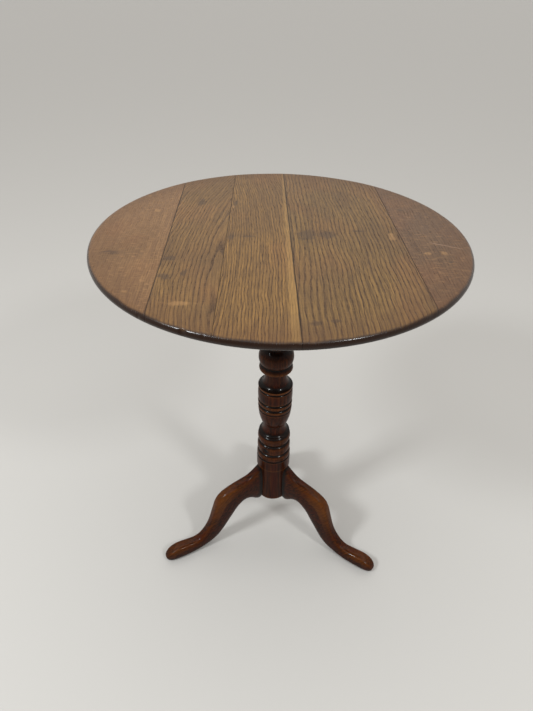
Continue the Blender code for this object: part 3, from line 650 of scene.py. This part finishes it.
def disc_rings():
    """Rings of the whole round top, from the middle of the underside over the edge to the middle of
    the face: radius and height follow the edge line, and the flats are plain steps in radius."""
    edge = through(EDGE_LINE, 5)
    radius = TOP_RADIUS - edge[:, 0]
    height = UNDERSIDE_Z + edge[:, 1] * THICKNESS
    flat_low = np.linspace(0.004, radius[0] - 0.006, 8)
    flat_high = radius[-1] - (radius[-1] - 0.004) * np.linspace(0.0, 1.0, 62)[1:] ** 1.15
    radius = np.concatenate([flat_low, radius, flat_high])
    height = np.concatenate([np.full(len(flat_low), UNDERSIDE_Z), height, np.full(len(flat_high), TOP_Z)])
    turn = np.linspace(0.0, 2.0 * pi, TOP_COLUMNS, endpoint=False)
    r, t = np.meshgrid(radius, turn, indexing="ij")
    z = np.repeat(height[:, None], TOP_COLUMNS, axis=1)
    rise = (z - UNDERSIDE_Z) / THICKNESS
    at_rim = smooth(r, TOP_RADIUS - 0.030, TOP_RADIUS - 0.002)
    r = r + at_rim * 0.00035 * (ripple(3.0 * t, 4.0 * rise, 5) - 1.0)
    for bearing, share, length, depth in RIM_NICKS:
        away = (np.angle(np.exp(1j * (t - radians(bearing)))) * TOP_RADIUS / length) ** 2
        away = away + ((rise - share) * THICKNESS / (0.6 * length + 0.0022)) ** 2
        r = r - at_rim * depth * np.exp(-away)
    return np.stack([r * np.cos(t), r * np.sin(t), z], axis=-1)


def joint_x(number, y):
    """Where a joint lies at a depth: a straight slanted line."""
    middle, slant = JOINTS[number]
    return middle + slant * y


def shape_board(points, number, ease, cup):
    """Lower the face: a shallow cup across the board, gentle planing waves, and edges rounded off
    beside the joints by ease times (1 - distance / 2 mm) squared."""
    x, y, z = points.T
    left = joint_x(number - 1, y) if number > 0 else np.full_like(x, -TOP_RADIUS)
    right = joint_x(number, y) if number < len(JOINTS) else np.full_like(x, TOP_RADIUS)
    share = (x - left) / (right - left)
    on_face = smooth(z, TOP_Z - 0.003, TOP_Z - 0.0004)
    drop = cup * 4.0 * share * (1.0 - share) + 0.00010 * (1.0 + ripple(x * 60.0, y * 22.0, 11 + number))
    if number > 0:
        drop = drop + ease * np.clip(1.0 - (x - left) / EASE_REACH, 0.0, 1.0) ** 2
    if number < len(JOINTS):
        drop = drop + ease * np.clip(1.0 - (right - x) / EASE_REACH, 0.0, 1.0) ** 2
    return np.column_stack([x, y, z - on_face * drop])


def saw_board(disc, number, ease, cup):
    """One board: the disc cut at its joints, with extra cuts beside each so that the edge can round."""
    shape = disc.copy()
    cuts = []
    if number > 0:
        cuts.append((number - 1, 1.0))
    if number < len(JOINTS):
        cuts.append((number, -1.0))
    for joint, side in cuts:
        middle, slant = JOINTS[joint]
        normal = Vector((side, -side * slant, 0.0)).normalized()
        for inset in (0.5 * SAW_GAP, *EXTRA_CUTS):
            origin = Vector((middle + side * inset, 0.0, 0.0))
            geometry = shape.verts[:] + shape.edges[:] + shape.faces[:]
            first = inset == 0.5 * SAW_GAP
            bmesh.ops.bisect_plane(
                shape, geom=geometry, dist=1.0e-7, plane_co=origin, plane_no=normal, clear_inner=first,
            )
        rims = [edge for edge in shape.edges if edge.is_boundary]
        filled = bmesh.ops.holes_fill(shape, edges=rims, sides=0)["faces"]
        bmesh.ops.triangulate(shape, faces=filled)
    mesh = bpy.data.meshes.new(BOARDS[number])
    shape.to_mesh(mesh)
    shape.free()
    points = np.empty(len(mesh.vertices) * 3)
    mesh.vertices.foreach_get("co", points)
    shaped = shape_board(points.reshape(-1, 3), number, ease, cup)
    mesh.vertices.foreach_set("co", shaped.ravel())
    mesh.update()
    made = bpy.data.objects.new("oak_" + BOARDS[number], mesh)
    bpy.context.scene.collection.objects.link(made)
    soften(made, 40.0)
    return made


class TABLE_OT_boards(bpy.types.Operator):
    """Saw the five oak boards from one round top and wax them"""

    bl_idname = "tilt_table.boards"
    bl_label = "Oak boards"

    def execute(self, context):
        settings = context.scene.tilt_table.top
        whole = tube_mesh("whole_top", disc_rings())
        disc = bmesh.new()
        disc.from_mesh(whole.data)
        bpy.data.objects.remove(whole)
        for number, node in enumerate(BOARDS):
            board = saw_board(disc, number, settings.joint_ease, settings.cupping)
            surface = waxed_oak("waxed_oak_%d" % (number + 1), number, settings)
            finish_piece(board, surface, "top", "polished_oak", node)
        disc.free()
        return {"FINISHED"}


# =====================================================================================
# column and legs
# =====================================================================================

COLUMN_COLUMNS = 160
PILLAR_RADIUS = 0.0335
SHAFT_RADIUS = 0.0245
TENON_RADIUS = 0.0160
COLLAR_HEIGHT = 0.0100
CHIP_BEARING = radians(-118.0)
CHIP_HEIGHT = 0.0575
CHIP_DEPTH = 0.0022
# each run of the turned outline is one smooth line, and the corners lie between the runs;
# a point is a radius and a height over the drum's foot
COLUMN_RUNS = (
    ((0.0348, 0.0000), (0.0348, 0.0100), (0.0347, 0.0200), (0.0346, 0.0262)),
    ((0.0346, 0.0262), (0.0336, 0.0272), (0.0331, 0.0282), (0.0338, 0.0293)),
    ((0.0338, 0.0293), (0.0345, 0.0325), (0.0345, 0.0360), (0.0341, 0.0388), (0.0331, 0.0412),
     (0.0318, 0.0428), (0.0304, 0.0439)),
    ((0.0304, 0.0439), (0.0299, 0.0448), (0.0304, 0.0457), (0.0316, 0.0466)),
    ((0.0316, 0.0466), (0.0332, 0.0498), (0.0337, 0.0540), (0.0337, 0.0590), (0.0333, 0.0622),
     (0.0324, 0.0648), (0.0311, 0.0667), (0.0297, 0.0679)),
    ((0.0297, 0.0679), (0.0291, 0.0692), (0.0296, 0.0708), (0.0310, 0.0726)),
    ((0.0310, 0.0726), (0.0325, 0.0760), (0.0331, 0.0800), (0.0330, 0.0840), (0.0325, 0.0866),
     (0.0315, 0.0888), (0.0302, 0.0904), (0.0292, 0.0912)),
    ((0.0292, 0.0912), (0.0290, 0.0921), (0.0299, 0.0931), (0.0310, 0.0940)),
    ((0.0310, 0.0940), (0.0304, 0.0945), (0.0280, 0.0960), (0.0252, 0.0992), (0.0232, 0.1035),
     (0.0222, 0.1085), (0.0220, 0.1130), (0.0222, 0.1172)),
    ((0.0222, 0.1172), (0.0236, 0.1180), (0.0243, 0.1191)),
    ((0.0243, 0.1191), (0.0262, 0.1235), (0.0284, 0.1300), (0.0303, 0.1375), (0.0317, 0.1455),
     (0.0326, 0.1540), (0.0328, 0.1562)),
    ((0.0328, 0.1562), (0.0321, 0.1572), (0.0321, 0.1582), (0.0328, 0.1598)),
    ((0.0328, 0.1598), (0.0332, 0.1615), (0.0332, 0.1635), (0.0328, 0.1652)),
    ((0.0328, 0.1652), (0.0315, 0.1660), (0.0306, 0.1672), (0.0303, 0.1685), (0.0310, 0.1699),
     (0.0330, 0.1718)),
    ((0.0330, 0.1718), (0.0335, 0.1738), (0.0335, 0.1762), (0.0330, 0.1782)),
    ((0.0330, 0.1782), (0.0317, 0.1789), (0.0309, 0.1800), (0.0310, 0.1813), (0.0320, 0.1826),
     (0.0332, 0.1838)),
    ((0.0332, 0.1838), (0.0335, 0.1900), (0.0335, 0.1980), (0.0331, 0.2040), (0.0326, 0.2072)),
    ((0.0326, 0.2072), (0.0314, 0.2080), (0.0310, 0.2090), (0.0322, 0.2103)),
    ((0.0322, 0.2103), (0.0331, 0.2120), (0.0333, 0.2140), (0.0331, 0.2155)),
    ((0.0331, 0.2155), (0.0305, 0.2166), (0.0275, 0.2185), (0.0248, 0.2215), (0.0228, 0.2260),
     (0.0216, 0.2320), (0.0212, 0.2390), (0.0212, 0.2460), (0.0213, 0.2530)),
    ((0.0213, 0.2530), (0.0260, 0.2532), (0.0303, 0.2537)),
    ((0.0303, 0.2537), (0.0314, 0.2548), (0.0319, 0.2568), (0.0316, 0.2592), (0.0306, 0.2616),
     (0.0293, 0.2638), (0.0284, 0.2652)),
    ((0.0284, 0.2652), (0.0281, 0.2664), (0.0286, 0.2678), (0.0300, 0.2692)),
    ((0.0300, 0.2692), (0.0318, 0.2735), (0.0328, 0.2778), (0.0330, 0.2820), (0.0324, 0.2870),
     (0.0308, 0.2920), (0.0278, 0.2972), (0.0246, 0.3010), (0.0222, 0.3038), (0.0214, 0.3050)),
    ((0.0214, 0.3050), (0.0212, 0.3070)),
    ((0.0212, 0.3070), (0.0234, 0.3084), (0.0244, 0.3115), (0.0236, 0.3142), (0.0216, 0.3162)),
)
SPAN_STEPS = 4


def column_outline():
    """Turned outline from the pillar's foot to the tenon's top, as radius and height: smooth runs
    joined at their ends, with points that repeat left out."""
    foot = COLUMN_LOW.z
    shoulder = SHOULDER_Z - DRUM_FOOT_Z
    collar = shoulder - COLLAR_HEIGHT
    pillar = (
        (0.0305, foot), (0.0325, foot + 0.0006), (0.0334, foot + 0.0022), (PILLAR_RADIUS, foot + 0.0045),
    )
    runs = [np.asarray(((0.0060, foot), (0.0200, foot), (0.0305, foot)))]
    runs.append(through(pillar, SPAN_STEPS))
    heights = np.linspace(foot + 0.0045, DRUM_FOOT_Z, 24)[1:]
    runs.append(np.column_stack([np.full(len(heights), PILLAR_RADIUS), heights]))
    shaft = ((0.0216, 0.3162), (0.0222, 0.3300), (0.0232, 0.3750), (0.0240, 0.4150), (SHAFT_RADIUS, collar))
    top = ((SHAFT_RADIUS, collar), (0.0286, collar + 0.0014), (0.0300, collar + 0.0050), (0.0290, shoulder))
    tenon = (
        (0.0290, shoulder), (TENON_RADIUS, shoulder), (TENON_RADIUS, shoulder + 0.0405),
        (0.0152, shoulder + 0.0413),
    )
    for run in (*COLUMN_RUNS, shaft, top):
        line = through(run, SPAN_STEPS)
        line[:, 1] += DRUM_FOOT_Z
        runs.append(line)
    runs.append(np.asarray(tenon) + (0.0, DRUM_FOOT_Z))
    runs.append(np.asarray(((0.0080, COLUMN_HIGH.z), (0.0020, COLUMN_HIGH.z))))
    outline = np.vstack(runs)
    keep = np.ones(len(outline), bool)
    keep[1:] = np.hypot(*np.diff(outline, axis=0).T) > SAME_POINT
    return outline[keep]


def wear_and_shade_along(outline):
    """Dark marks and wear along the outline. A point inside the mean of the outline within 3 mm is a groove,
    one outside it is a proud edge, and a slope that faces up is a ledge. Grooves and ledges get the dark
    layer, partly dirt and partly painted shade for the upward faces shaded under the top; proud edges are
    rubbed lighter."""
    r, z = outline.T
    travel = np.concatenate([[0.0], np.cumsum(np.hypot(np.diff(r), np.diff(z)))])
    near = np.exp(-((travel[:, None] - travel[None, :]) / 0.0030) ** 2) * np.gradient(travel)[None, :]
    mean = (near * r[None, :]).sum(1) / near.sum(1)
    facing_up = -np.gradient(r, travel)
    # painted shade with dirt: slopes that face up are marked to be painted near-black
    ledge = smooth(facing_up, 0.30, 0.75) * smooth(r, 0.0215, 0.0240) * (z < SHOULDER_Z - 0.011)
    groove = np.clip((mean - r) / 0.00055, 0.0, 1.0)
    proud = np.clip((r - mean) / 0.00045, 0.0, 1.0) * (1.0 - ledge)
    return np.clip(groove + 0.9 * ledge, 0.0, 1.0), proud


def column_rings():
    """Turned column: outline radius spun about Z, a hair out of round, with one old chip in the drum."""
    outline = column_outline()
    hollow, proud = wear_and_shade_along(outline)
    turn = np.linspace(0.0, 2.0 * pi, COLUMN_COLUMNS, endpoint=False)
    r, t = np.meshgrid(outline[:, 0], turn, indexing="ij")
    z = np.repeat(outline[:, 1][:, None], COLUMN_COLUMNS, axis=1)
    seen = smooth(r, 0.017, 0.021)
    r = r - seen * 0.00012 * (1.0 + ripple(2.0 * np.cos(t) + z * 40.0, 2.0 * np.sin(t), 21))
    chip = ((np.angle(np.exp(1j * (t - CHIP_BEARING))) * PILLAR_RADIUS) / 0.0044) ** 2
    chip = chip + ((z - DRUM_FOOT_Z - CHIP_HEIGHT) / 0.0062) ** 2
    chipped = np.exp(-chip * (1.0 + 0.5 * np.sin(9.0 * t + 700.0 * z)))
    r = r - CHIP_DEPTH * chipped
    rings = np.stack([r * np.cos(t), r * np.sin(t), z], axis=-1)
    # the chip joins the dark layer: painted shade and dirt in its hollow
    hollow = np.clip(hollow[:, None] + 1.8 * chipped, 0.0, 1.0)
    return rings, {"hollow": hollow, "rubbed": 0.8 * proud[:, None]}


LEG_COLUMNS = 56
LEG_SEAT_RADIUS = 0.0338
LEG_GRAIN_LIFT = radians(-52.0)
LEG_NODES = (("leg_left", 210.0), ("leg_right", 330.0), ("leg_back", 90.0))
# along each leg: top edge radius and height, bottom edge radius and height, half thickness
LEG_STATIONS = (
    (0.0338, 0.1900, 0.0338, 0.0945, 0.0130), (0.0400, 0.1835, 0.0395, 0.0928, 0.0131),
    (0.0480, 0.1755, 0.0460, 0.0966, 0.0133), (0.0600, 0.1663, 0.0550, 0.1045, 0.0138),
    (0.0740, 0.1612, 0.0640, 0.1085, 0.0140), (0.0900, 0.1566, 0.0722, 0.1078, 0.0140),
    (0.1040, 0.1518, 0.0800, 0.1025, 0.0140), (0.1180, 0.1456, 0.0882, 0.0940, 0.0138),
    (0.1285, 0.1378, 0.0958, 0.0828, 0.0135), (0.1360, 0.1262, 0.1025, 0.0718, 0.0132),
    (0.1410, 0.1122, 0.1083, 0.0628, 0.0129), (0.1455, 0.0970, 0.1150, 0.0523, 0.0126),
    (0.1500, 0.0820, 0.1222, 0.0413, 0.0123), (0.1550, 0.0680, 0.1305, 0.0300, 0.0120),
    (0.1615, 0.0550, 0.1405, 0.0202, 0.0118), (0.1690, 0.0440, 0.1515, 0.0126, 0.0118),
    (0.1780, 0.0345, 0.1660, 0.0070, 0.0120), (0.1890, 0.0292, 0.1790, 0.0030, 0.0126),
    (0.2030, 0.0284, 0.1940, 0.0008, 0.0134), (0.2180, 0.0298, 0.2100, 0.0000, 0.0140),
    (0.2310, 0.0300, 0.2240, 0.0000, 0.0140), (0.2410, 0.0276, 0.2360, 0.0000, 0.0134),
    (0.2495, 0.0230, 0.2450, 0.0002, 0.0120), (0.2555, 0.0165, 0.2520, 0.0014, 0.0095),
    (0.2582, 0.0115, 0.2562, 0.0042, 0.0060), (0.2588, 0.0092, 0.2580, 0.0066, 0.0020),
)


def leg_rings(bearing, seed):
    """Leg as rings between its top and bottom edges: across is half * sgn(cos) |cos|^p and along is
    sgn(sin) |sin|^q, a soft-cornered oblong; the first rings bend round the pillar's face."""
    stations = through(LEG_STATIONS, 6)
    top, low, half = stations[:, 0:2], stations[:, 2:4], stations[:, 4]
    turn = np.linspace(0.0, 2.0 * pi, LEG_COLUMNS, endpoint=False) + pi / LEG_COLUMNS
    across = np.sign(np.cos(turn)) * np.abs(np.cos(turn)) ** 0.52
    along = np.sign(np.sin(turn)) * np.abs(np.sin(turn)) ** 0.60
    share = 0.5 + 0.5 * along[None, :]
    r = low[:, 0:1] + (top[:, 0:1] - low[:, 0:1]) * share
    z = low[:, 1:2] + (top[:, 1:2] - low[:, 1:2]) * share
    w = half[:, None] * across[None, :] * (1.0 - 0.05 * np.clip(along, 0.0, 1.0)[None, :])
    travel = np.linspace(0.0, 1.0, len(stations))[:, None]
    uneven = 0.00035 * ripple(14.0 * travel, 3.0 * np.cos(turn)[None, :], seed)
    away = smooth(travel, 0.02, 0.12)
    w = w + away * uneven
    z = z + away * smooth(z, 0.010, 0.020) * uneven
    fit = 1.0 - smooth(r, 0.0345, 0.0480)
    r = r + fit * (np.sqrt(np.clip(LEG_SEAT_RADIUS**2 - w**2, 0.0, None)) - LEG_SEAT_RADIUS)
    a = radians(bearing)
    rings = np.stack([r * cos(a) - w * sin(a), r * sin(a) + w * cos(a), z], axis=-1)
    # the dark layer is laid where the leg meets the pillar and along its sole, darkening both nearly to
    # black
    shoulder = 1.0 - smooth(r, 0.034, 0.043)
    sole = 1.0 - smooth(z, 0.0005, 0.0040)
    edge = np.exp(-((np.abs(np.cos(turn)) - 0.62) / 0.22) ** 2) * (np.sin(turn) > 0.0)
    knee = np.exp(-((travel - 0.34) / 0.13) ** 2) + 0.5 * np.exp(-((travel - 0.80) / 0.12) ** 2)
    rubbed = np.clip(0.30 * edge[None, :] + 0.75 * knee * (np.sin(turn) > 0.15)[None, :], 0.0, 1.0)
    return rings, {"hollow": np.clip(shoulder + sole, 0.0, 1.0), "rubbed": rubbed * (1.0 - shoulder)}


class TABLE_OT_column(bpy.types.Operator):
    """Turn the column on the lathe and polish it"""

    bl_idname = "tilt_table.column"
    bl_label = "Turned column"

    def execute(self, context):
        rings, layers = column_rings()
        made = tube_mesh("turned_column", rings, layers)
        soften(made, 50.0)
        surface = dark_polish("polished_column", context.scene.tilt_table.stand)
        finish_piece(made, surface, "stand", "stained_oak", "column")
        return {"FINISHED"}


class TABLE_OT_legs(bpy.types.Operator):
    """Shape the three curved legs"""

    bl_idname = "tilt_table.legs"
    bl_label = "Curved legs"

    def execute(self, context):
        settings = context.scene.tilt_table.stand
        for number, (node, bearing) in enumerate(LEG_NODES):
            rings, layers = leg_rings(bearing, 31 + number)
            made = tube_mesh("curved_" + node, rings, layers)
            soften(made, 60.0)
            surface = dark_polish("polished_" + node, settings, radians(bearing), LEG_GRAIN_LIFT)
            finish_piece(made, surface, "stand", "stained_oak", node)
        return {"FINISHED"}


# =====================================================================================
# block, bearers, pins and screws
# =====================================================================================


class TABLE_OT_underframe(bpy.types.Operator):
    """Fit the pivot block, bearers, wedge and pins"""

    bl_idname = "tilt_table.underframe"
    bl_label = "Block and bearers"

    def execute(self, context):
        brown = ((0.105, 0.055, 0.030), (0.045, 0.022, 0.013))
        pale = ((0.330, 0.205, 0.105), (0.170, 0.095, 0.048))
        along_x = plain_wood("bearer_oak", *brown, lift=radians(90.0))
        along_y = plain_wood("block_oak", *brown, turn=radians(90.0), lift=radians(90.0))
        ash_y = plain_wood("pin_ash", *pale, turn=radians(90.0), lift=radians(90.0), roughness=0.5)
        ash_z = plain_wood("wedge_ash", *pale)
        fits = (
            ("pivot_block", 0.0011, along_y, "stand", "unpolished_oak"),
            ("bearer_front", 0.0013, along_x, "top", "unpolished_oak"),
            ("bearer_back", 0.0013, along_x, "top", "unpolished_oak"),
            ("pivot_pin_front", 0.0005, ash_y, "stand", "ash"),
            ("pivot_pin_back", 0.0005, ash_y, "stand", "ash"),
            ("tenon_wedge", 0.0002, ash_z, "stand", "ash"),
        )
        for node, width, surface, body, slot in fits:
            finish_piece(eased_copy("eased_" + node, node, width), surface, body, slot, node)
        return {"FINISHED"}


class TABLE_OT_screws(bpy.types.Operator):
    """Drive the wood screws"""

    bl_idname = "tilt_table.screws"
    bl_label = "Screws"

    def execute(self, context):
        iron = old_metal("darkened_iron", (0.23, 0.21, 0.19), (0.055, 0.038, 0.028), 0.42, 240.0)
        brass = old_metal("screw_brass", (0.60, 0.42, 0.16), (0.16, 0.095, 0.035), 0.34, 300.0)
        for node in sorted(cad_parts):
            if "_screw_" not in node:
                continue
            body = "stand" if node.startswith("strike") else "top"
            of_iron = node.startswith("bearer")
            made = eased_copy("driven_" + node, node, 0.00012, 1)
            slot = "iron_screw" if of_iron else "brass_screw"
            finish_piece(made, iron if of_iron else brass, body, slot, node)
        return {"FINISHED"}


# =====================================================================================
# the catch
# =====================================================================================

BOLT_COLUMNS = 64
STUD_LENGTH = 0.0060
COLLAR_BACK = 0.0619
COLLAR_LENGTH = 0.0032
BOLT_EASE = 0.0003
KNOB_BORE = 0.0027
KNOB_NECK = 0.0045
WIRE_RADIUS = 0.0006
SPRING_TURNS = 9
STEPS_A_TURN = 40


def spun_about_x(outline, centre):
    """Rings of a round bar along X: each (x, radius) turned about the bolt's axis."""
    x, r = np.asarray(outline, float).T
    turn = np.linspace(0.0, 2.0 * pi, BOLT_COLUMNS, endpoint=False)
    ys = centre[1] + r[:, None] * np.cos(turn)[None, :]
    zs = centre[2] + r[:, None] * np.sin(turn)[None, :]
    return np.stack([np.repeat(x[:, None], BOLT_COLUMNS, axis=1), ys, zs], axis=-1)


def bolt_outline(low, high):
    """Bolt from its stud to its blunt rounded nose, with the collar that stops it."""
    bar, stud, collar = 0.0039, 0.0024, 0.0062
    tail = low.x + STUD_LENGTH
    back = low.x + COLLAR_BACK
    front = back + COLLAR_LENGTH
    nose = through(((high.x - 0.0034, bar), (high.x - 0.0014, bar - 0.0006), (high.x - 0.0003, 0.0021),
                    (high.x, 0.0006)), 5)
    stem = (
        (low.x, 0.0006), (low.x, stud - BOLT_EASE), (low.x + BOLT_EASE, stud), (tail, stud),
        (tail, bar - BOLT_EASE), (tail + BOLT_EASE, bar), (back, bar), (back, collar - BOLT_EASE),
        (back + BOLT_EASE, collar), (front - BOLT_EASE, collar), (front, collar - BOLT_EASE), (front, bar),
    )
    return np.vstack([stem, nose])


def knob_outline(low, high):
    """Ball knob: neck at the bolt's end, then three quarters of a circle."""
    ball = (high.z - low.z) / 2.0
    face = high.x
    centre = face - 0.0010 - 0.8 * ball
    turn = np.radians(np.linspace(37.0, 177.0, 26))
    round_part = np.column_stack([centre + ball * np.cos(turn), ball * np.sin(turn)])
    deep = face - STUD_LENGTH
    hollow = (
        (deep, 0.0006), (deep, KNOB_BORE), (face, KNOB_BORE), (face, KNOB_NECK), (face - 0.0010, KNOB_NECK),
    )
    return np.vstack([hollow, round_part])


def spring_rings(low, high):
    """Coil spring: the wire's circle carried along a helix about the bolt's axis, its end turns closer."""
    coil = (high.z - low.z) / 2.0 - WIRE_RADIUS
    middle = ((low.y + high.y) / 2.0, (low.z + high.z) / 2.0)
    share = np.linspace(0.0, 1.0, SPRING_TURNS * STEPS_A_TURN + 1)
    eased = share - 0.035 * np.sin(2.0 * pi * share)
    turn = 2.0 * pi * SPRING_TURNS * share
    x = low.x + WIRE_RADIUS + (high.x - low.x - 2.0 * WIRE_RADIUS) * eased
    line = np.column_stack([x, middle[0] + coil * np.cos(turn), middle[1] + coil * np.sin(turn)])
    out = np.column_stack([np.zeros_like(turn), np.cos(turn), np.sin(turn)])
    way = np.gradient(line, axis=0)
    way /= np.linalg.norm(way, axis=1)[:, None]
    side = np.cross(way, out)
    around = np.linspace(0.0, 2.0 * pi, 12, endpoint=False)
    ring = np.cos(around)[None, :, None] * out[:, None, :] + np.sin(around)[None, :, None] * side[:, None, :]
    return line[:, None, :] + WIRE_RADIUS * ring


class TABLE_OT_catch(bpy.types.Operator):
    """Make the brass catch: plate, strike, bolt, spring and knob"""

    bl_idname = "tilt_table.catch"
    bl_label = "Brass catch"

    def execute(self, context):
        brass = old_metal("aged_brass", (0.66, 0.47, 0.19), (0.20, 0.125, 0.045), 0.28, 130.0)
        steel = old_metal("spring_wire", (0.45, 0.45, 0.46), (0.14, 0.12, 0.11), 0.30, 400.0)
        plates = (
            ("cast_catch_plate", "catch_plate", 0.0004, "top"),
            ("cut_strike_plate", "strike_plate", 0.0002, "stand"),
        )
        for name, node, width, body in plates:
            finish_piece(eased_copy(name, node, width), brass, body, "brass", node)
        low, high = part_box("catch_bolt")
        centre = (low + high) / 2.0
        bolt = tube_mesh("sliding_bolt", spun_about_x(bolt_outline(low, high), centre))
        knob_low, knob_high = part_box("catch_knob")
        knob = tube_mesh("pull_knob", spun_about_x(knob_outline(knob_low, knob_high), centre))
        for made, node in ((bolt, "catch_bolt"), (knob, "catch_knob")):
            soften(made)
            finish_piece(made, brass, "bolt", "brass", node)
        spring_low, spring_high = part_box("catch_spring")
        spring = tube_mesh("coil_spring", spring_rings(spring_low, spring_high))
        soften(spring)
        spring.data.materials.append(steel)
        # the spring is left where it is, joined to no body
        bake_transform(spring)
        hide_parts("catch_spring")
        return {"FINISHED"}


# =====================================================================================
# stage
# =====================================================================================


FLOOR_REACH = 200.0
FLOOR_DROP = 0.0002
LIGHT_AIM = (0.0, 0.0, 0.45)


def area_light(name, place, aim, size, power, colour):
    """Soft rectangular light facing a point."""
    lamp = bpy.data.lights.new(name, "AREA")
    lamp.shape = "RECTANGLE"
    lamp.size, lamp.size_y = size
    lamp.energy = power
    lamp.color = colour
    made = bpy.data.objects.new(name, lamp)
    made.location = place
    made.rotation_euler = (Vector(aim) - Vector(place)).to_track_quat("-Z", "Y").to_euler()
    bpy.context.scene.collection.objects.link(made)
    return made


def sun_light(name, height, power, spread):
    """Light straight down from a wide patch of sky."""
    lamp = bpy.data.lights.new(name, "SUN")
    lamp.energy = power
    lamp.angle = spread
    made = bpy.data.objects.new(name, lamp)
    made.location = (0.0, 0.0, height)
    bpy.context.scene.collection.objects.link(made)
    return made


def set_surroundings(settings):
    """Soft light all round, weaker at the front: strength rises from the front share to 1 with Y."""
    world = bpy.data.worlds.new("surroundings")
    bpy.context.scene.world = world
    world.use_nodes = True
    nodes, links = world.node_tree.nodes, world.node_tree.links
    way = nodes.new("ShaderNodeTexCoord")
    split = nodes.new("ShaderNodeSeparateXYZ")
    fade = nodes.new("ShaderNodeMapRange")
    fade.inputs["From Min"].default_value = -0.9
    fade.inputs["From Max"].default_value = 0.3
    fade.inputs["To Min"].default_value = settings.front_share
    links.new(way.outputs["Generated"], split.inputs["Vector"])
    links.new(split.outputs["Y"], fade.inputs["Value"])
    links.new(fade.outputs["Result"], nodes["Background"].inputs["Strength"])
    nodes["Background"].inputs["Color"].default_value = (*settings.sky, 1.0)


def set_camera(settings):
    """Camera from its place, turn, dip and roll."""
    turn, dip, roll = settings.camera_turn, settings.camera_dip, settings.camera_roll
    ahead = Vector((-sin(turn) * cos(dip), cos(turn) * cos(dip), -sin(dip)))
    right = Vector((cos(turn), sin(turn), 0.0))
    up = right.cross(ahead)
    leaned_right = right * cos(roll) + up * sin(roll)
    leaned_up = up * cos(roll) - right * sin(roll)
    lens = bpy.data.cameras.new("camera")
    lens.lens = settings.lens
    lens.sensor_width = 36.0
    lens.clip_start = 0.01
    made = bpy.data.objects.new("camera", lens)
    axes = Matrix((leaned_right, leaned_up, -ahead)).transposed()
    made.matrix_world = Matrix.Translation(Vector(settings.camera_place)) @ axes.to_4x4()
    bpy.context.scene.collection.objects.link(made)
    bpy.context.scene.camera = made


class TABLE_OT_stage(bpy.types.Operator):
    """Lay the plain floor, hang the lights and set the camera"""

    bl_idname = "tilt_table.stage"
    bl_label = "Stage"

    def execute(self, context):
        settings = context.scene.tilt_table.stage
        corners = ((-1, -1), (1, -1), (1, 1), (-1, 1))
        points = [(x * FLOOR_REACH, y * FLOOR_REACH, -FLOOR_DROP) for x, y in corners]
        floor = add_mesh("floor", points, [(0, 1, 2, 3)])
        paint = Paint("floor_paint")
        floor.data.materials.append(paint.done(settings.floor, 0.75))
        area_light("left_window", (-1.75, -1.25, 2.40), LIGHT_AIM, (0.46, 0.46), 48.0, (0.93, 0.97, 1.0))
        area_light("right_window", (1.50, -1.45, 2.35), LIGHT_AIM, (0.34, 0.34), 28.0, (0.95, 0.98, 1.0))
        sun_light("open_sky", 3.0, 1.15, 1.4)
        set_surroundings(settings)
        context.scene.view_settings.view_transform = "Standard"
        set_camera(settings)
        return {"FINISHED"}


class TABLE_PT_panel(bpy.types.Panel):
    """Buttons for each group of pieces"""

    bl_idname = "TABLE_PT_panel"
    bl_label = "Round tilting table"
    bl_space_type = "VIEW_3D"
    bl_region_type = "UI"
    bl_category = "Table"

    def draw(self, context):
        settings = context.scene.tilt_table
        for label, group in (("Top", settings.top), ("Stand", settings.stand), ("Stage", settings.stage)):
            box = self.layout.box()
            box.label(text=label)
            for key in group.__annotations__:
                box.prop(group, key)
        for operator in OPERATORS:
            self.layout.operator(operator.bl_idname)


OPERATORS = (
    TABLE_OT_boards, TABLE_OT_column, TABLE_OT_legs, TABLE_OT_underframe, TABLE_OT_screws, TABLE_OT_catch,
    TABLE_OT_stage,
)
CLASSES = (TopSettings, StandSettings, StageSettings, TableSettings, *OPERATORS, TABLE_PT_panel)


def register():
    """Make the settings, the operators and the panel known."""
    for cls in CLASSES:
        bpy.utils.register_class(cls)
    bpy.types.Scene.tilt_table = bpy.props.PointerProperty(type=TableSettings)


def unregister():
    """Take them away again."""
    del bpy.types.Scene.tilt_table
    for cls in reversed(CLASSES):
        bpy.utils.unregister_class(cls)


def main():
    register()
    bpy.ops.tilt_table.boards()
    bpy.ops.tilt_table.column()
    bpy.ops.tilt_table.legs()
    bpy.ops.tilt_table.underframe()
    bpy.ops.tilt_table.screws()
    bpy.ops.tilt_table.catch()
    bpy.ops.tilt_table.stage()


if __name__ == "__main__":
    main()
